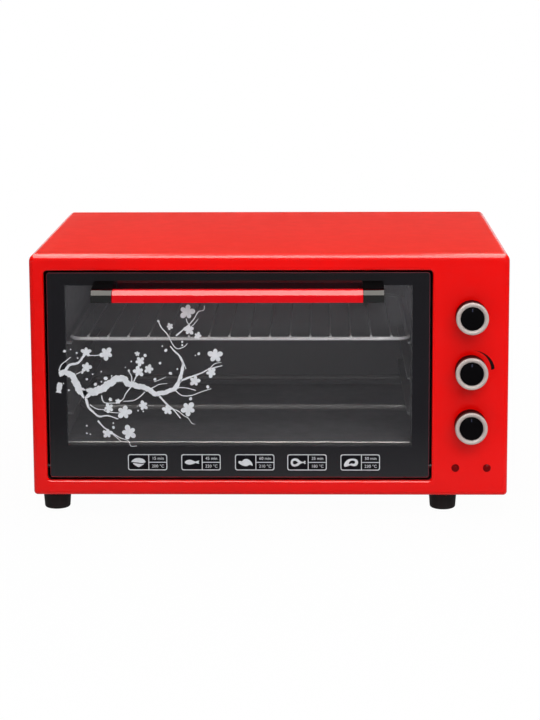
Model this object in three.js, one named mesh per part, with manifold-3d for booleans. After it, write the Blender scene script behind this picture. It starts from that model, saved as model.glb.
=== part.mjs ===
// A countertop mini oven in millimetres, +Z up, its front facing -Y.
// While it is built, y = 0 is the front face of the steel fascia and z = 0 is the table.

import * as THREE from 'three';
import { mergeVertices } from 'three/addons/utils/BufferGeometryUtils.js';
import Module from 'manifold-3d';

const wasm = await Module();
wasm.setup();

// Body
const bodyWidth = 550;
const bodyDepth = 390;
const bodyHeight = 283;
const outerSheet = 0.8; // painted steel of the cover, fascia, base and back
const linerSheet = 0.6; // enamelled steel of the oven liner and the door pan
const seatGap = 0.3; // between pieces that are fitted against each other
const runningGap = 0.35; // round a pin, shaft or rod in its hole
const overrun = 3; // how far a cutting solid passes the wall it cuts

// Feet
const footHeight = 21;
const footTopRadius = 17;
const footBottomRadius = 15;
const footEdge = 2.5;
const footStudRadius = 4;
const footStudLength = 8;
const leftFootInset = 24; // foot centre to the body's left side
const rightFootOffset = 14.5; // foot centre beyond the doorway's right edge
const frontFootInset = 31;
const rearFootInset = 40;

// Fascia
const fasciaDepth = 9;
const fasciaFillet = 6.5;
const fasciaCorner = 8;
const leftStile = 16.5;
const bottomRail = 17.6;
const topRail = 18.4;
const panelWidth = 87.5; // control panel, from the doorway to the body's right side
const doorwayCorner = 6;
const doorwayLip = 6; // depth of the lip turned in round the doorway

// Cover, back and base
const coverSeam = 0.5;
const coverCorner = 8;
const rearFlange = 16;
const baseFlange = 12;
const backInset = 1;
const ventSlotLength = 46;
const ventSlotHeight = 4;
const ventPitch = 11;
const ventCount = 7;
const ventMargin = 30;
const screwShankRadius = 1.8;
const screwHeadRadius = 4;
const screwHeadHeight = 2.2;
const screwLength = 12;
const screwInset = 9;

// Door
const doorClearance = 3;
const doorRecess = 5; // glass face behind the fascia face
const outerGlassThickness = 4;
const doorCorner = 5;
const panInset = 3; // door pan inside the glass outline
const panBack = 28; // rear face of the door pan
const windowLeftBorder = 19;
const windowRightBorder = 21;
const windowTopBorder = 17;
const windowBottomBorder = 35;
const windowCorner = 3;
const innerGlassThickness = 3;
const innerGlassOverlap = 5;

// Handle
const handleReach = 40; // glass face to the front of the bar
const handleBracketWidth = 23.6;
const handleLeftGap = 55.1; // door's left edge to the handle
const handleRightGap = 53.4;
const handleBottomDrop = 28.5; // door's top edge to the underside of the bar
const handleFaceHeight = 7.8;
const handleBevelHeight = 5.7;
const handleBevelDepth = 5;
const handleBarDepth = 16;
const handleRootRise = 5.5; // bracket top at the glass above the bar top
const handleRootDrop = 3;
const handleScrewRadius = 2.2;
const handleScrewHeadRadius = 4.5;
const handleScrewHeadHeight = 2.6;
const handleScrewReach = 16;

// Hinges and stays
const hingeDepth = 13; // hinge axis behind the fascia face
const hingeLift = 14.5; // hinge axis above the doorway's lower edge
const pinRadius = 2.5;
const pinHeadRadius = 3.6;
const pinHeadLength = 3;
const pinReach = 13; // from the door pan's side out through the bracket
const bracketSheet = 1.6;
const bracketStandoff = 2; // bracket plate beyond the doorway's lip
const bracketDepth = 24;
const bracketHeight = 26;
const bracketFlange = 7;
const stayRadius = 38;
const stayWidth = 6;
const stayThickness = 3;
const stayInset = 5; // stay bar outside the oven liner
const stayTailAngle = THREE.MathUtils.degToRad(122);
const staySlotGap = 0.8;

// Door recess and oven liner
const recessBack = 31.5; // front face of the recess plate
const cavitySideMargin = 17; // doorway's edge to the liner's wall
const cavityFloorMargin = 38.4;
const cavityRoofMargin = 13.5;
const cavityRearGap = 27.6; // liner to the back of the body
const floorLip = 12;
const guideReach = 10;
const guideThickness = 3;
const guidePitch = 42;
const guideLevels = 3;
const guideEndGap = 6;

// Wire rack
const rackRise = 121.5; // frame rod above the cavity floor
const rackSideGap = 6;
const rackFrontGap = 12; // rack behind the cavity's mouth
const rackRearGap = 12;
const rackCorner = 14;
const rackRodRadius = 2.4;
const rackWireRadius = 1.3;
const rackWireCount = 16;
const rackWireMargin = 23; // outer wires inside the rack's sides
const rackWireSink = 0.5; // how far each wire is welded into the frame rod
const rackWireNose = 1.5; // wire end past the front rod

// Heaters
const heaterRadius = 3.25;
const heaterBend = 20;
const heaterFrontDepth = 92; // front run behind the cavity's mouth
const heaterRearGap = 64; // rear run before the liner's back
const heaterWallGap = 8;
const heaterTail = 16; // terminals beyond the liner's right wall
const lowerHeaterRise = 22; // above the cavity floor
const upperHeaterDrop = 15; // below the cavity roof

// Controls
const topKnobDrop = 70.8; // below the body's top
const bottomKnobRise = 84.9; // above the body's bottom
const knobReach = 24;
const knobFasciaGap = 1.2;
const knobBodyRadius = 18.2;
const knobTaper = 0.9;
const knobFaceRadius = 13.1;
const knobFaceRecess = 1.2;
const knobRingRadius = 18.5;
const knobRingDepth = 10;
const knobRingBevel = 1.6;
const knobRingInnerBevel = 1.1;
const knobBoreDepth = 17;
const shaftRadius = 3;
const shaftTail = 28;
const fasciaShaftHole = 4.5;
const bushingRadius = 5;
const bushingReach = 4;
const switchWidth = 38;
const switchDepth = 28;
const tabWidth = 6.3;
const tabThickness = 0.8;
const tabLength = 8;
const tabSpread = 22;
const carrierDepth = 10; // control carrier's plate behind the fascia face
const carrierSheet = 1.2;
const carrierSideGap = 8.75; // carrier inside the control panel's sides
const carrierMargin = 32; // carrier beyond the outer knob axes
const lampRise = 33.5;
const lampShift = 1.6; // middle of the two lamps beyond the knob column
const lampSpacing = 36.3;
const lampHoleRadius = 3.9;
const lampRadius = 3.5;
const lampRimRadius = 4.4;
const lampRimHeight = 1.1;
const lampDomeHeight = 1;
const lampTail = 9;
const lampHousingRadius = 6;
const lampHousingDepth = 27;

// Heat shield, thermostat probe and wiring
const shieldStandoff = 25; // shield beyond the liner's right wall
const shieldSheet = 0.8;
const shieldFlange = 12;
const shieldFrontGap = 20;
const shieldPassRadius = 4;
const probeRadius = 3;
const probeLength = 96;
const probeDrop = 26; // below the cavity roof
const probeStart = 100; // behind the cavity's mouth
const capillaryRadius = 1;
const capillaryBend = 3;
const capillaryLead = 14;
const terminalWidth = 36;
const terminalDepth = 20;
const terminalHeight = 18;
const terminalBackGap = 26;
const terminalScrewRadius = 2.6;
const glandColumn = 30; // gland axis to the body's right side
const glandRise = 36;
const glandRadius = 7;
const glandFlangeRadius = 11;
const glandFlangeDepth = 3.2;
const glandNoseDepth = 5;
const glandTail = 14;
const glandBore = 3.7;
const loomRadius = 3;
const loomBend = 28;
const steepest = 0.9; // a rod whose first run rises more than this takes its first side from x

// Facet counts
const cornerSteps = 5;
const roundSides = 24;
const smallSides = 16;
const rodSides = 8;
const bendSteps = 6;
const domeSteps = 2;
const slotSteps = 2;
const wireSides = 6;
const footSides = 20;

// Derived places
const bottomZ = footHeight;
const topZ = bottomZ + bodyHeight;
const leftX = -bodyWidth / 2;
const rightX = bodyWidth / 2;
const doorwayLeft = leftX + leftStile;
const doorwayRight = rightX - panelWidth;
const doorwayBottom = bottomZ + bottomRail;
const doorwayTop = topZ - topRail;
const glassLeft = doorwayLeft + doorClearance;
const glassRight = doorwayRight - doorClearance;
const glassBottom = doorwayBottom + doorClearance;
const glassTop = doorwayTop - doorClearance;
const glassBack = doorRecess + outerGlassThickness;
const windowLeft = glassLeft + windowLeftBorder;
const windowRight = glassRight - windowRightBorder;
const windowBottom = glassBottom + windowBottomBorder;
const windowTop = glassTop - windowTopBorder;
const hingeZ = doorwayBottom + hingeLift;
const doorMiddle = (glassLeft + glassRight) / 2;
const cavityLeft = doorwayLeft + cavitySideMargin;
const cavityRight = doorwayRight - cavitySideMargin;
const cavityFront = recessBack + linerSheet + seatGap;
const cavityRear = bodyDepth - cavityRearGap;
const cavityFloor = doorwayBottom + cavityFloorMargin;
const cavityRoof = doorwayTop - cavityRoofMargin;
const baseTop = bottomZ + outerSheet;
const coverFront = fasciaDepth + coverSeam;
const backFront = bodyDepth - outerSheet;
const coverBack = backFront - seatGap;
const knobX = (doorwayRight + rightX) / 2;
const knobFront = -knobReach;
const shieldX = cavityRight + shieldStandoff;
const handleFront = doorRecess - handleReach;
const handleLeft = glassLeft + handleLeftGap;
const handleRight = glassRight - handleRightGap;
const handleBottom = glassTop - handleBottomDrop;
const handleFaceTop = handleBottom + handleFaceHeight;
const handleTop = handleFaceTop + handleBevelHeight;
const handleScrewZ = (handleBottom + handleTop) / 2;
const rearmost = bodyDepth + seatGap + glandFlangeDepth + glandNoseDepth;

const axisX = new THREE.Vector3(1, 0, 0);
const axisY = new THREE.Vector3(0, 1, 0);
const axisZ = new THREE.Vector3(0, 0, 1);

// Finishes
function finish(color, roughness, metalness, opacity = 1) {
  const look = { color, roughness, metalness, opacity, transparent: opacity < 1, flatShading: true };
  return new THREE.MeshStandardMaterial(look);
}
const redPaint = finish(0xe30d10, 0.3, 0);
const blackGlass = finish(0x222126, 0.08, 0, 0.6);
const clearGlass = finish(0x6a6a70, 0.05, 0, 0.35);
const blackPlastic = finish(0x0b0b0c, 0.35, 0);
const ringMetal = finish(0xd9ccc4, 0.3, 1);
const footRubber = finish(0x231d1e, 0.7, 0);
const zincSteel = finish(0xa9abad, 0.45, 0.9);
const darkSteel = finish(0x4a4a50, 0.5, 0.6);
const enamel = finish(0x5a5a60, 0.4, 0);
const brightWire = finish(0xc9cacf, 0.25, 1);
const heaterSteel = finish(0x6f6b68, 0.4, 0.9);
const ceramicWhite = finish(0xdcd8cf, 0.6, 0);
const lampRed = finish(0x7d0a0a, 0.25, 0, 0.9);
const cableGrey = finish(0x77787c, 0.6, 0);

// Solids

// Turns a closed three.js geometry into a solid whose faces point outwards.
function toSolid(geometry) {
  geometry.deleteAttribute('normal');
  geometry.deleteAttribute('uv');
  const merged = mergeVertices(geometry);
  const positions = merged.attributes.position.array;
  const corner = (i) => new THREE.Vector3().fromArray(positions, 3 * i);
  const triangles = [];
  let volume = 0;
  for (let i = 0; i < merged.index.count; i += 3) {
    const [a, b, c] = [0, 1, 2].map((k) => merged.index.getX(i + k));
    if (a === b || b === c || c === a) continue;
    triangles.push([a, b, c]);
    volume += corner(a).dot(corner(b).cross(corner(c)));
  }
  const order = volume > 0 ? triangles : triangles.map(([a, b, c]) => [a, c, b]);
  const vertProperties = new Float32Array(positions);
  const triVerts = new Uint32Array(order.flat());
  return new wasm.Manifold(new wasm.Mesh({ numProp: 3, vertProperties, triVerts }));
}

function toGeometry(solid) {
  const mesh = solid.getMesh();
  const geometry = new THREE.BufferGeometry();
  geometry.setAttribute('position', new THREE.BufferAttribute(new Float32Array(mesh.vertProperties), 3));
  geometry.setIndex(new THREE.BufferAttribute(new Uint32Array(mesh.triVerts), 1));
  geometry.computeVertexNormals();
  return geometry;
}

const join = (...solids) => solids.reduce((whole, solid) => whole.add(solid));
const cut = (whole, ...tools) => tools.reduce((rest, tool) => rest.subtract(tool), whole);

function box(x0, x1, y0, y1, z0, z1) {
  const geometry = new THREE.BoxGeometry(x1 - x0, y1 - y0, z1 - z0);
  return toSolid(geometry.translate((x0 + x1) / 2, (y0 + y1) / 2, (z0 + z1) / 2));
}

// The corner points of a rectangle with round corners, counter-clockwise.
function roundRect(a0, a1, b0, b1, radius, steps = cornerSteps) {
  const centres = [[a1 - radius, b1 - radius], [a0 + radius, b1 - radius],
    [a0 + radius, b0 + radius], [a1 - radius, b0 + radius]];
  return centres.flatMap(([a, b], quarter) => Array.from({ length: steps }, (_, i) => {
    const angle = (quarter + i / (steps - 1)) * Math.PI / 2;
    return new THREE.Vector2(a + radius * Math.cos(angle), b + radius * Math.sin(angle));
  }));
}

// Extrudes an outline along x (drawn in y and z), along y (in x and z) or along z (in x and y).
function extrude(points, axis, from, to) {
  const depth = to - from;
  const geometry = new THREE.ExtrudeGeometry(new THREE.Shape(points), { depth, bevelEnabled: false });
  const basis = new THREE.Matrix4();
  if (axis === 'x') basis.makeBasis(axisY, axisZ, axisX).setPosition(from, 0, 0);
  if (axis === 'y') basis.makeBasis(axisX, axisZ, axisY.clone().negate()).setPosition(0, to, 0);
  if (axis === 'z') basis.setPosition(0, 0, from);
  return toSolid(geometry.applyMatrix4(basis));
}

// A round bar between two places on one axis; the place is given across that axis in x, y, z order.
function bar(axis, place, from, to, radius, sides = smallSides) {
  const geometry = new THREE.CylinderGeometry(radius, radius, to - from, sides);
  const middle = (from + to) / 2;
  if (axis === 'x') geometry.rotateZ(-Math.PI / 2).translate(middle, place[0], place[1]);
  if (axis === 'y') geometry.translate(place[0], middle, place[1]);
  if (axis === 'z') geometry.rotateX(Math.PI / 2).translate(place[0], place[1], middle);
  return toSolid(geometry);
}

// Turns a profile of [radius, distance] pairs about the y axis at (x, z).
function turnAboutY(profile, x, z, sides = roundSides) {
  const points = profile.map(([radius, y]) => new THREE.Vector2(radius, y));
  return toSolid(new THREE.LatheGeometry(points, sides).translate(x, 0, z));
}

function turnAboutZ(profile, x, y, sides = roundSides) {
  const points = profile.map(([radius, z]) => new THREE.Vector2(radius, z));
  return toSolid(new THREE.LatheGeometry(points, sides).rotateX(Math.PI / 2).translate(x, y, 0));
}

// Skins a row of rings of points, with flat ends, or joined end to end when it is a loop.
function loft(rings, loop = false) {
  const sides = rings[0].length;
  const positions = rings.flat().flatMap((point) => point.toArray());
  const index = [];
  const rows = loop ? rings.length : rings.length - 1;
  for (let row = 0; row < rows; row += 1) {
    const next = (row + 1) % rings.length;
    for (let i = 0; i < sides; i += 1) {
      const j = (i + 1) % sides;
      const [a, b, c, d] = [row * sides + i, row * sides + j, next * sides + j, next * sides + i];
      index.push(a, b, c, a, c, d);
    }
  }
  const last = (rings.length - 1) * sides;
  for (let i = 1; i < sides - 1 && !loop; i += 1) {
    index.push(0, i + 1, i, last, last + i, last + i + 1);
  }
  const geometry = new THREE.BufferGeometry();
  geometry.setAttribute('position', new THREE.Float32BufferAttribute(positions, 3));
  geometry.setIndex(index);
  return toSolid(geometry);
}

// The centre line of a rod bent at each inner corner, with the bends as arcs.
function bentLine(corners, bendRadius, loop = false) {
  const count = corners.length;
  return corners.flatMap((corner, i) => {
    if (!loop && (i === 0 || i === count - 1)) return [corner];
    const before = corners[(i + count - 1) % count].clone().sub(corner).normalize();
    const after = corners[(i + 1) % count].clone().sub(corner).normalize();
    const turn = Math.PI - before.angleTo(after);
    const trim = bendRadius * Math.tan(turn / 2);
    const centre = corner.clone().addScaledVector(before.clone().add(after).normalize(),
      bendRadius / Math.cos(turn / 2));
    const arm = corner.clone().addScaledVector(before, trim).sub(centre);
    const axis = arm.clone().cross(corner.clone().addScaledVector(after, trim).sub(centre)).normalize();
    return Array.from({ length: bendSteps + 1 }, (_, k) => (
      arm.clone().applyAxisAngle(axis, turn * k / bendSteps).add(centre)));
  });
}

// A rod of round section along a bent line; its rings are carried from point to point without twist.
function rod(corners, bendRadius, radius, sides = rodSides, loop = false) {
  const line = bentLine(corners, bendRadius, loop);
  const count = line.length;
  const direction = (i, j) => line[(j + count) % count].clone().sub(line[(i + count) % count]).normalize();
  const first = direction(0, 1);
  let side = first.clone().cross(Math.abs(first.z) < steepest ? axisZ : axisX).normalize();
  const rings = line.map((point, i) => {
    const open = !loop && (i === 0 || i === count - 1);
    const into = open && i === 0 ? first : direction(i - 1, i);
    const out = open && i > 0 ? into : direction(i, i + 1);
    const tangent = into.clone().add(out).normalize();
    side = side.addScaledVector(tangent, -side.dot(tangent)).normalize();
    const up = tangent.clone().cross(side);
    return Array.from({ length: sides }, (_, k) => {
      const angle = 2 * Math.PI * k / sides;
      const [across, rise] = [radius * Math.cos(angle), radius * Math.sin(angle)];
      return point.clone().addScaledVector(side, across).addScaledVector(up, rise);
    });
  });
  return loft(rings, loop);
}

// The assembly
const oven = new THREE.Group();

function piece(name, solid, material) {
  const mesh = new THREE.Mesh(toGeometry(solid), material);
  mesh.name = name;
  oven.add(mesh);
}

const doorwayOutline = (spread = 0) => roundRect(doorwayLeft - spread, doorwayRight + spread,
  doorwayBottom - spread, doorwayTop + spread, doorwayCorner + spread);

// A shallow pressed pan with a rounded front edge, as a solid without its hollow.
function panForm(inset, front, back) {
  const fillet = fasciaFillet - inset;
  const ringAt = (edge, y) => roundRect(leftX + inset + edge, rightX - inset - edge, bottomZ + inset + edge,
    topZ - inset - edge, fasciaCorner - inset - edge).map((point) => new THREE.Vector3(point.x, y, point.y));
  const rings = Array.from({ length: cornerSteps }, (_, i) => {
    const angle = i / (cornerSteps - 1) * Math.PI / 2;
    return ringAt(fillet * (1 - Math.sin(angle)), front + fillet * (1 - Math.cos(angle)));
  });
  return loft([...rings, ringAt(0, back)]);
}

function ventSlots(axis, across, middle, from, to) {
  return Array.from({ length: ventCount }, (_, i) => {
    const z = middle + (i - (ventCount - 1) / 2) * ventPitch;
    const outline = roundRect(across - ventSlotLength / 2, across + ventSlotLength / 2,
      z - ventSlotHeight / 2, z + ventSlotHeight / 2, ventSlotHeight / 2, slotSteps);
    return extrude(outline, axis, from, to);
  });
}

const lampPlaces = [['left', -1], ['right', 1]].map(([side, sign]) => (
  { side, x: knobX + lampShift + sign * lampSpacing / 2, z: bottomZ + lampRise }));
const [topKnobZ, bottomKnobZ] = [topZ - topKnobDrop, bottomZ + bottomKnobRise];
const middleKnobZ = (topKnobZ + bottomKnobZ) / 2;
const knobPlaces = [['selector', topKnobZ], ['thermostat', middleKnobZ], ['timer', bottomKnobZ]]
  .map(([name, z]) => ({ name, x: knobX, z }));

function addFascia() {
  const shell = cut(panForm(0, 0, fasciaDepth), panForm(outerSheet, outerSheet, fasciaDepth + overrun));
  const lip = extrude(doorwayOutline(outerSheet), 'y', outerSheet / 2, doorwayLip);
  const holes = [
    ...knobPlaces.map(({ x, z }) => bar('y', [x, z], -overrun, fasciaDepth, fasciaShaftHole)),
    ...lampPlaces.map(({ x, z }) => bar('y', [x, z], -overrun, fasciaDepth, lampHoleRadius + runningGap)),
  ];
  const doorway = extrude(doorwayOutline(), 'y', -overrun, doorwayLip + overrun);
  piece('front_fascia', cut(join(shell, lip), doorway, ...holes), redPaint);
}

const screwPlaces = [['upper_left', -1, 1], ['upper_right', 1, 1],
  ['lower_left', -1, -1], ['lower_right', 1, -1]].map(([corner, across, up]) => ({
    corner,
    x: across * (bodyWidth / 2 - screwInset),
    z: (bottomZ + topZ) / 2 + up * (bodyHeight / 2 - screwInset - coverCorner),
  }));

function addCover() {
  const outer = roundRect(leftX, rightX, bottomZ, topZ, coverCorner);
  const inner = (inset) => roundRect(leftX + inset, rightX - inset, bottomZ - topZ, topZ - inset,
    Math.max(coverCorner - inset, outerSheet));
  const tube = cut(extrude(outer, 'y', coverFront, coverBack),
    extrude(inner(outerSheet), 'y', coverFront - overrun, coverBack - outerSheet),
    extrude(inner(rearFlange), 'y', coverBack - outerSheet - overrun, coverBack + overrun),
    box(leftX - overrun, rightX + overrun, coverFront - overrun, coverBack + overrun,
      bottomZ - overrun, bottomZ + coverCorner));
  const skirts = [[leftX, leftX + outerSheet], [rightX - outerSheet, rightX]]
    .map(([x0, x1]) => box(x0, x1, coverFront, coverBack, bottomZ, bottomZ + coverCorner));
  const sideVents = ventSlots('x', coverBack - ventMargin - ventSlotLength / 2, (bottomZ + topZ) / 2,
    rightX - outerSheet - overrun, rightX + overrun);
  const screwHoles = screwPlaces.map(({ x, z }) => (
    bar('y', [x, z], coverBack - outerSheet - overrun, coverBack + overrun, screwShankRadius + runningGap)));
  piece('outer_cover', cut(join(tube, ...skirts), ...sideVents, ...screwHoles), redPaint);
}

function addBack() {
  const outline = roundRect(leftX + backInset, rightX - backInset, bottomZ + backInset, topZ - backInset,
    coverCorner - backInset);
  const plate = extrude(outline, 'y', backFront, bodyDepth);
  const through = [backFront - overrun, bodyDepth + overrun];
  const vents = [...ventSlots('y', knobX, (bottomZ + topZ) / 2, ...through),
    ...[-1, 0, 1].flatMap((i) => ventSlots('y', doorMiddle + i * (ventSlotLength + ventPitch),
      (bottomZ + topZ) / 2, ...through))];
  const holes = screwPlaces.map(({ x, z }) => bar('y', [x, z], ...through, screwShankRadius + runningGap));
  const glandHole = bar('y', [rightX - glandColumn, bottomZ + glandRise], ...through, glandRadius + seatGap,
    roundSides);
  piece('back_panel', cut(plate, ...vents, ...holes, glandHole), darkSteel);

  const seat = bodyDepth + seatGap;
  for (const { corner, x, z } of screwPlaces) {
    const shank = bar('y', [x, z], bodyDepth - screwLength, bodyDepth + screwHeadHeight, screwShankRadius);
    const head = bar('y', [x, z], seat, seat + screwHeadHeight, screwHeadRadius);
    piece(`${corner}_back_screw`, join(shank, head), zincSteel);
  }

  const profile = [
    [glandBore, backFront - glandTail], [glandRadius, backFront - glandTail], [glandRadius, seat],
    [glandFlangeRadius, seat], [glandFlangeRadius, seat + glandFlangeDepth],
    [glandRadius, seat + glandFlangeDepth], [glandRadius - seatGap, rearmost], [glandBore, rearmost],
    [glandBore, backFront - glandTail],
  ];
  const gland = turnAboutY(profile, rightX - glandColumn, bottomZ + glandRise, smallSides);
  piece('cord_gland', gland, blackPlastic);
}

const footPlaces = [['front_left', leftX + leftFootInset, frontFootInset],
  ['front_right', doorwayRight + rightFootOffset, frontFootInset],
  ['rear_left', leftX + leftFootInset, bodyDepth - rearFootInset],
  ['rear_right', doorwayRight + rightFootOffset, bodyDepth - rearFootInset]];

function addBase() {
  const side = outerSheet + seatGap;
  const [x0, x1] = [leftX + side, rightX - side];
  const flangeTop = baseTop + baseFlange;
  const tray = cut(box(x0, x1, coverFront, coverBack, bottomZ, flangeTop),
    box(x0 + outerSheet, x1 - outerSheet, coverFront + outerSheet, coverBack - outerSheet,
      baseTop, flangeTop + overrun));
  const rearCorners = [[x0 - overrun, x0 + rearFlange], [x1 - rearFlange, x1 + overrun]]
    .map(([a, b]) => box(a, b, coverBack - outerSheet - seatGap, coverBack + overrun, 0, topZ));
  const studHoles = footPlaces.map(([, x, y]) => (
    bar('z', [x, y], 0, flangeTop, footStudRadius + seatGap)));
  piece('base_plate', cut(tray, ...rearCorners, ...studHoles), zincSteel);

  const seat = bottomZ - seatGap;
  const edge = Array.from({ length: domeSteps + 1 }, (_, i) => {
    const angle = i / domeSteps * Math.PI / 2;
    return [footBottomRadius - footEdge + footEdge * Math.sin(angle), footEdge - footEdge * Math.cos(angle)];
  });
  const profile = [[0, 0], ...edge, [footTopRadius, seat], [footStudRadius, seat],
    [footStudRadius, seat + footStudLength], [0, seat + footStudLength]];
  for (const [corner, x, y] of footPlaces) {
    piece(`${corner}_foot`, turnAboutZ(profile, x, y, footSides), footRubber);
  }
}

const guideTops = Array.from({ length: guideLevels }, (_, i) => (
  cavityFloor + rackRise - rackRodRadius - seatGap - i * guidePitch));
const heaterLevels = { lower: cavityFloor + lowerHeaterRise, upper: cavityRoof - upperHeaterDrop };
const heaterRuns = [cavityFront + heaterFrontDepth, cavityRear - heaterRearGap];
const probeZ = cavityRoof - probeDrop;
const capillaryY = cavityFront + probeStart - capillaryLead;

function addLiner() {
  const shell = extrude(doorwayOutline(outerSheet), 'y', doorwayLip + seatGap, recessBack + linerSheet);
  const hollow = extrude(doorwayOutline(), 'y', 0, recessBack);
  const mouth = box(cavityLeft, cavityRight, 0, cavityFront, cavityFloor, cavityRoof);
  const pinHoles = [doorwayLeft, doorwayRight].map((x) => (
    bar('x', [hingeDepth, hingeZ], x - overrun, x + overrun, pinRadius + runningGap)));
  const slotBottom = Math.sqrt((stayRadius - stayWidth / 2) ** 2 - (cavityFront - hingeDepth) ** 2);
  const slotTop = Math.sqrt((stayRadius + stayWidth / 2) ** 2 - (recessBack - hingeDepth) ** 2);
  const slots = stayPlaces.map(({ x0, x1 }) => box(x0 - staySlotGap, x1 + staySlotGap, recessBack - overrun,
    cavityFront + overrun, hingeZ + slotBottom - staySlotGap, hingeZ + slotTop + staySlotGap));
  piece('door_recess', cut(shell, hollow, mouth, ...pinHoles, ...slots), enamel);

  const wallBottom = baseTop + seatGap;
  const guides = (x0, x1) => guideTops.map((z) => (
    box(x0, x1, cavityFront + guideEndGap, cavityRear - guideEndGap, z - guideThickness, z)));
  const leftWall = box(cavityLeft - linerSheet, cavityLeft, cavityFront, cavityRear, wallBottom, cavityRoof);
  const leftGuides = guides(cavityLeft - linerSheet / 2, cavityLeft + guideReach);
  piece('cavity_left_wall', join(leftWall, ...leftGuides), enamel);

  const rightWall = box(cavityRight, cavityRight + linerSheet, cavityFront, cavityRear,
    wallBottom, cavityRoof);
  const rightGuides = guides(cavityRight - guideReach, cavityRight + linerSheet / 2);
  const through = [cavityRight - overrun, cavityRight + overrun];
  const heaterHoles = Object.values(heaterLevels).flatMap((z) => (
    heaterRuns.map((y) => bar('x', [y, z], ...through, heaterRadius + runningGap))));
  const probeHole = bar('x', [capillaryY, probeZ], ...through, capillaryRadius + runningGap, rodSides);
  piece('cavity_right_wall', cut(join(rightWall, ...rightGuides), ...heaterHoles, probeHole), enamel);

  const roof = box(cavityLeft - linerSheet, cavityRight + linerSheet, cavityFront, cavityRear,
    cavityRoof + seatGap, cavityRoof + seatGap + linerSheet);
  piece('cavity_roof', roof, enamel);
  const between = [cavityLeft + seatGap, cavityRight - seatGap];
  const floor = box(...between, cavityFront, cavityRear, cavityFloor - linerSheet, cavityFloor);
  const lip = box(...between, cavityFront, cavityFront + linerSheet, cavityFloor - floorLip, cavityFloor);
  piece('cavity_floor', join(floor, lip), enamel);
  piece('cavity_back', box(cavityLeft - linerSheet, cavityRight + linerSheet, cavityRear + seatGap,
    cavityRear + seatGap + linerSheet, wallBottom, cavityRoof + seatGap + linerSheet), enamel);
}

function addHeaters() {
  const leftRun = cavityLeft + heaterWallGap;
  const tail = cavityRight + heaterTail;
  for (const [name, z] of Object.entries(heaterLevels)) {
    const [front, rear] = heaterRuns;
    const corners = [[tail, front], [leftRun, front], [leftRun, rear], [tail, rear]]
      .map(([x, y]) => new THREE.Vector3(x, y, z));
    piece(`${name}_heater`, rod(corners, heaterBend, heaterRadius), heaterSteel);
  }
}

function addRack() {
  const z = cavityFloor + rackRise;
  const side = rackSideGap + rackRodRadius;
  const [x0, x1] = [cavityLeft + side, cavityRight - side];
  const [y0, y1] = [cavityFront + rackFrontGap, cavityRear - rackRearGap - rackRodRadius];
  const margin = rackWireMargin - rackRodRadius;
  const pitch = (x1 - x0 - 2 * margin) / (rackWireCount - 1);
  const corners = [[x0, y0], [x1, y0], [x1, y1], [x0, y1]].map(([x, y]) => new THREE.Vector3(x, y, z));
  const frame = rod(corners, rackCorner, rackRodRadius, rodSides, true);
  const wireZ = z + rackRodRadius + rackWireRadius - rackWireSink;
  const wires = Array.from({ length: rackWireCount }, (_, i) => {
    const place = [x0 + margin + i * pitch, wireZ];
    return bar('y', place, y0 - rackWireNose, y1 + rackWireNose, rackWireRadius, wireSides);
  });
  piece('wire_rack', join(frame, ...wires), brightWire);
}

function addDoor() {
  const [x0, x1] = [glassLeft + panInset, glassRight - panInset];
  const [z0, z1] = [glassBottom + panInset, glassTop - panInset];
  const glass = extrude(roundRect(glassLeft, glassRight, glassBottom, glassTop, doorCorner), 'y',
    doorRecess, glassBack);
  const screwHoles = handleScrewPlaces.map(({ x }) => (
    bar('y', [x, handleScrewZ], 0, glassBack + overrun, handleScrewRadius + runningGap)));
  piece('door_outer_glass', cut(glass, ...screwHoles), blackGlass);

  const panFront = glassBack + seatGap;
  const panOuter = extrude(roundRect(x0, x1, z0, z1, doorCorner), 'y', panFront, panBack);
  const panHollow = extrude(roundRect(x0 + linerSheet, x1 - linerSheet, z0 + linerSheet, z1 - linerSheet,
    doorCorner - linerSheet), 'y', panFront - overrun, panBack - linerSheet);
  const windowHole = extrude(roundRect(windowLeft, windowRight, windowBottom, windowTop, windowCorner), 'y',
    panFront, panBack + overrun);
  const pinHoles = [[x0 - overrun, x0 + overrun], [x1 - overrun, x1 + overrun]]
    .map(([from, to]) => bar('x', [hingeDepth, hingeZ], from, to, pinRadius + seatGap));
  piece('door_inner_frame', cut(panOuter, panHollow, windowHole, ...pinHoles), darkSteel);

  const innerBack = panBack - linerSheet - seatGap;
  const spread = innerGlassOverlap;
  const pane = roundRect(windowLeft - spread, windowRight + spread, windowBottom - spread,
    windowTop + spread, windowCorner + spread);
  piece('door_inner_glass', extrude(pane, 'y', innerBack - innerGlassThickness, innerBack), clearGlass);
}

const handleScrewPlaces = [['left', handleLeft + handleBracketWidth / 2],
  ['right', handleRight - handleBracketWidth / 2]].map(([side, x]) => ({ side, x }));

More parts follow.
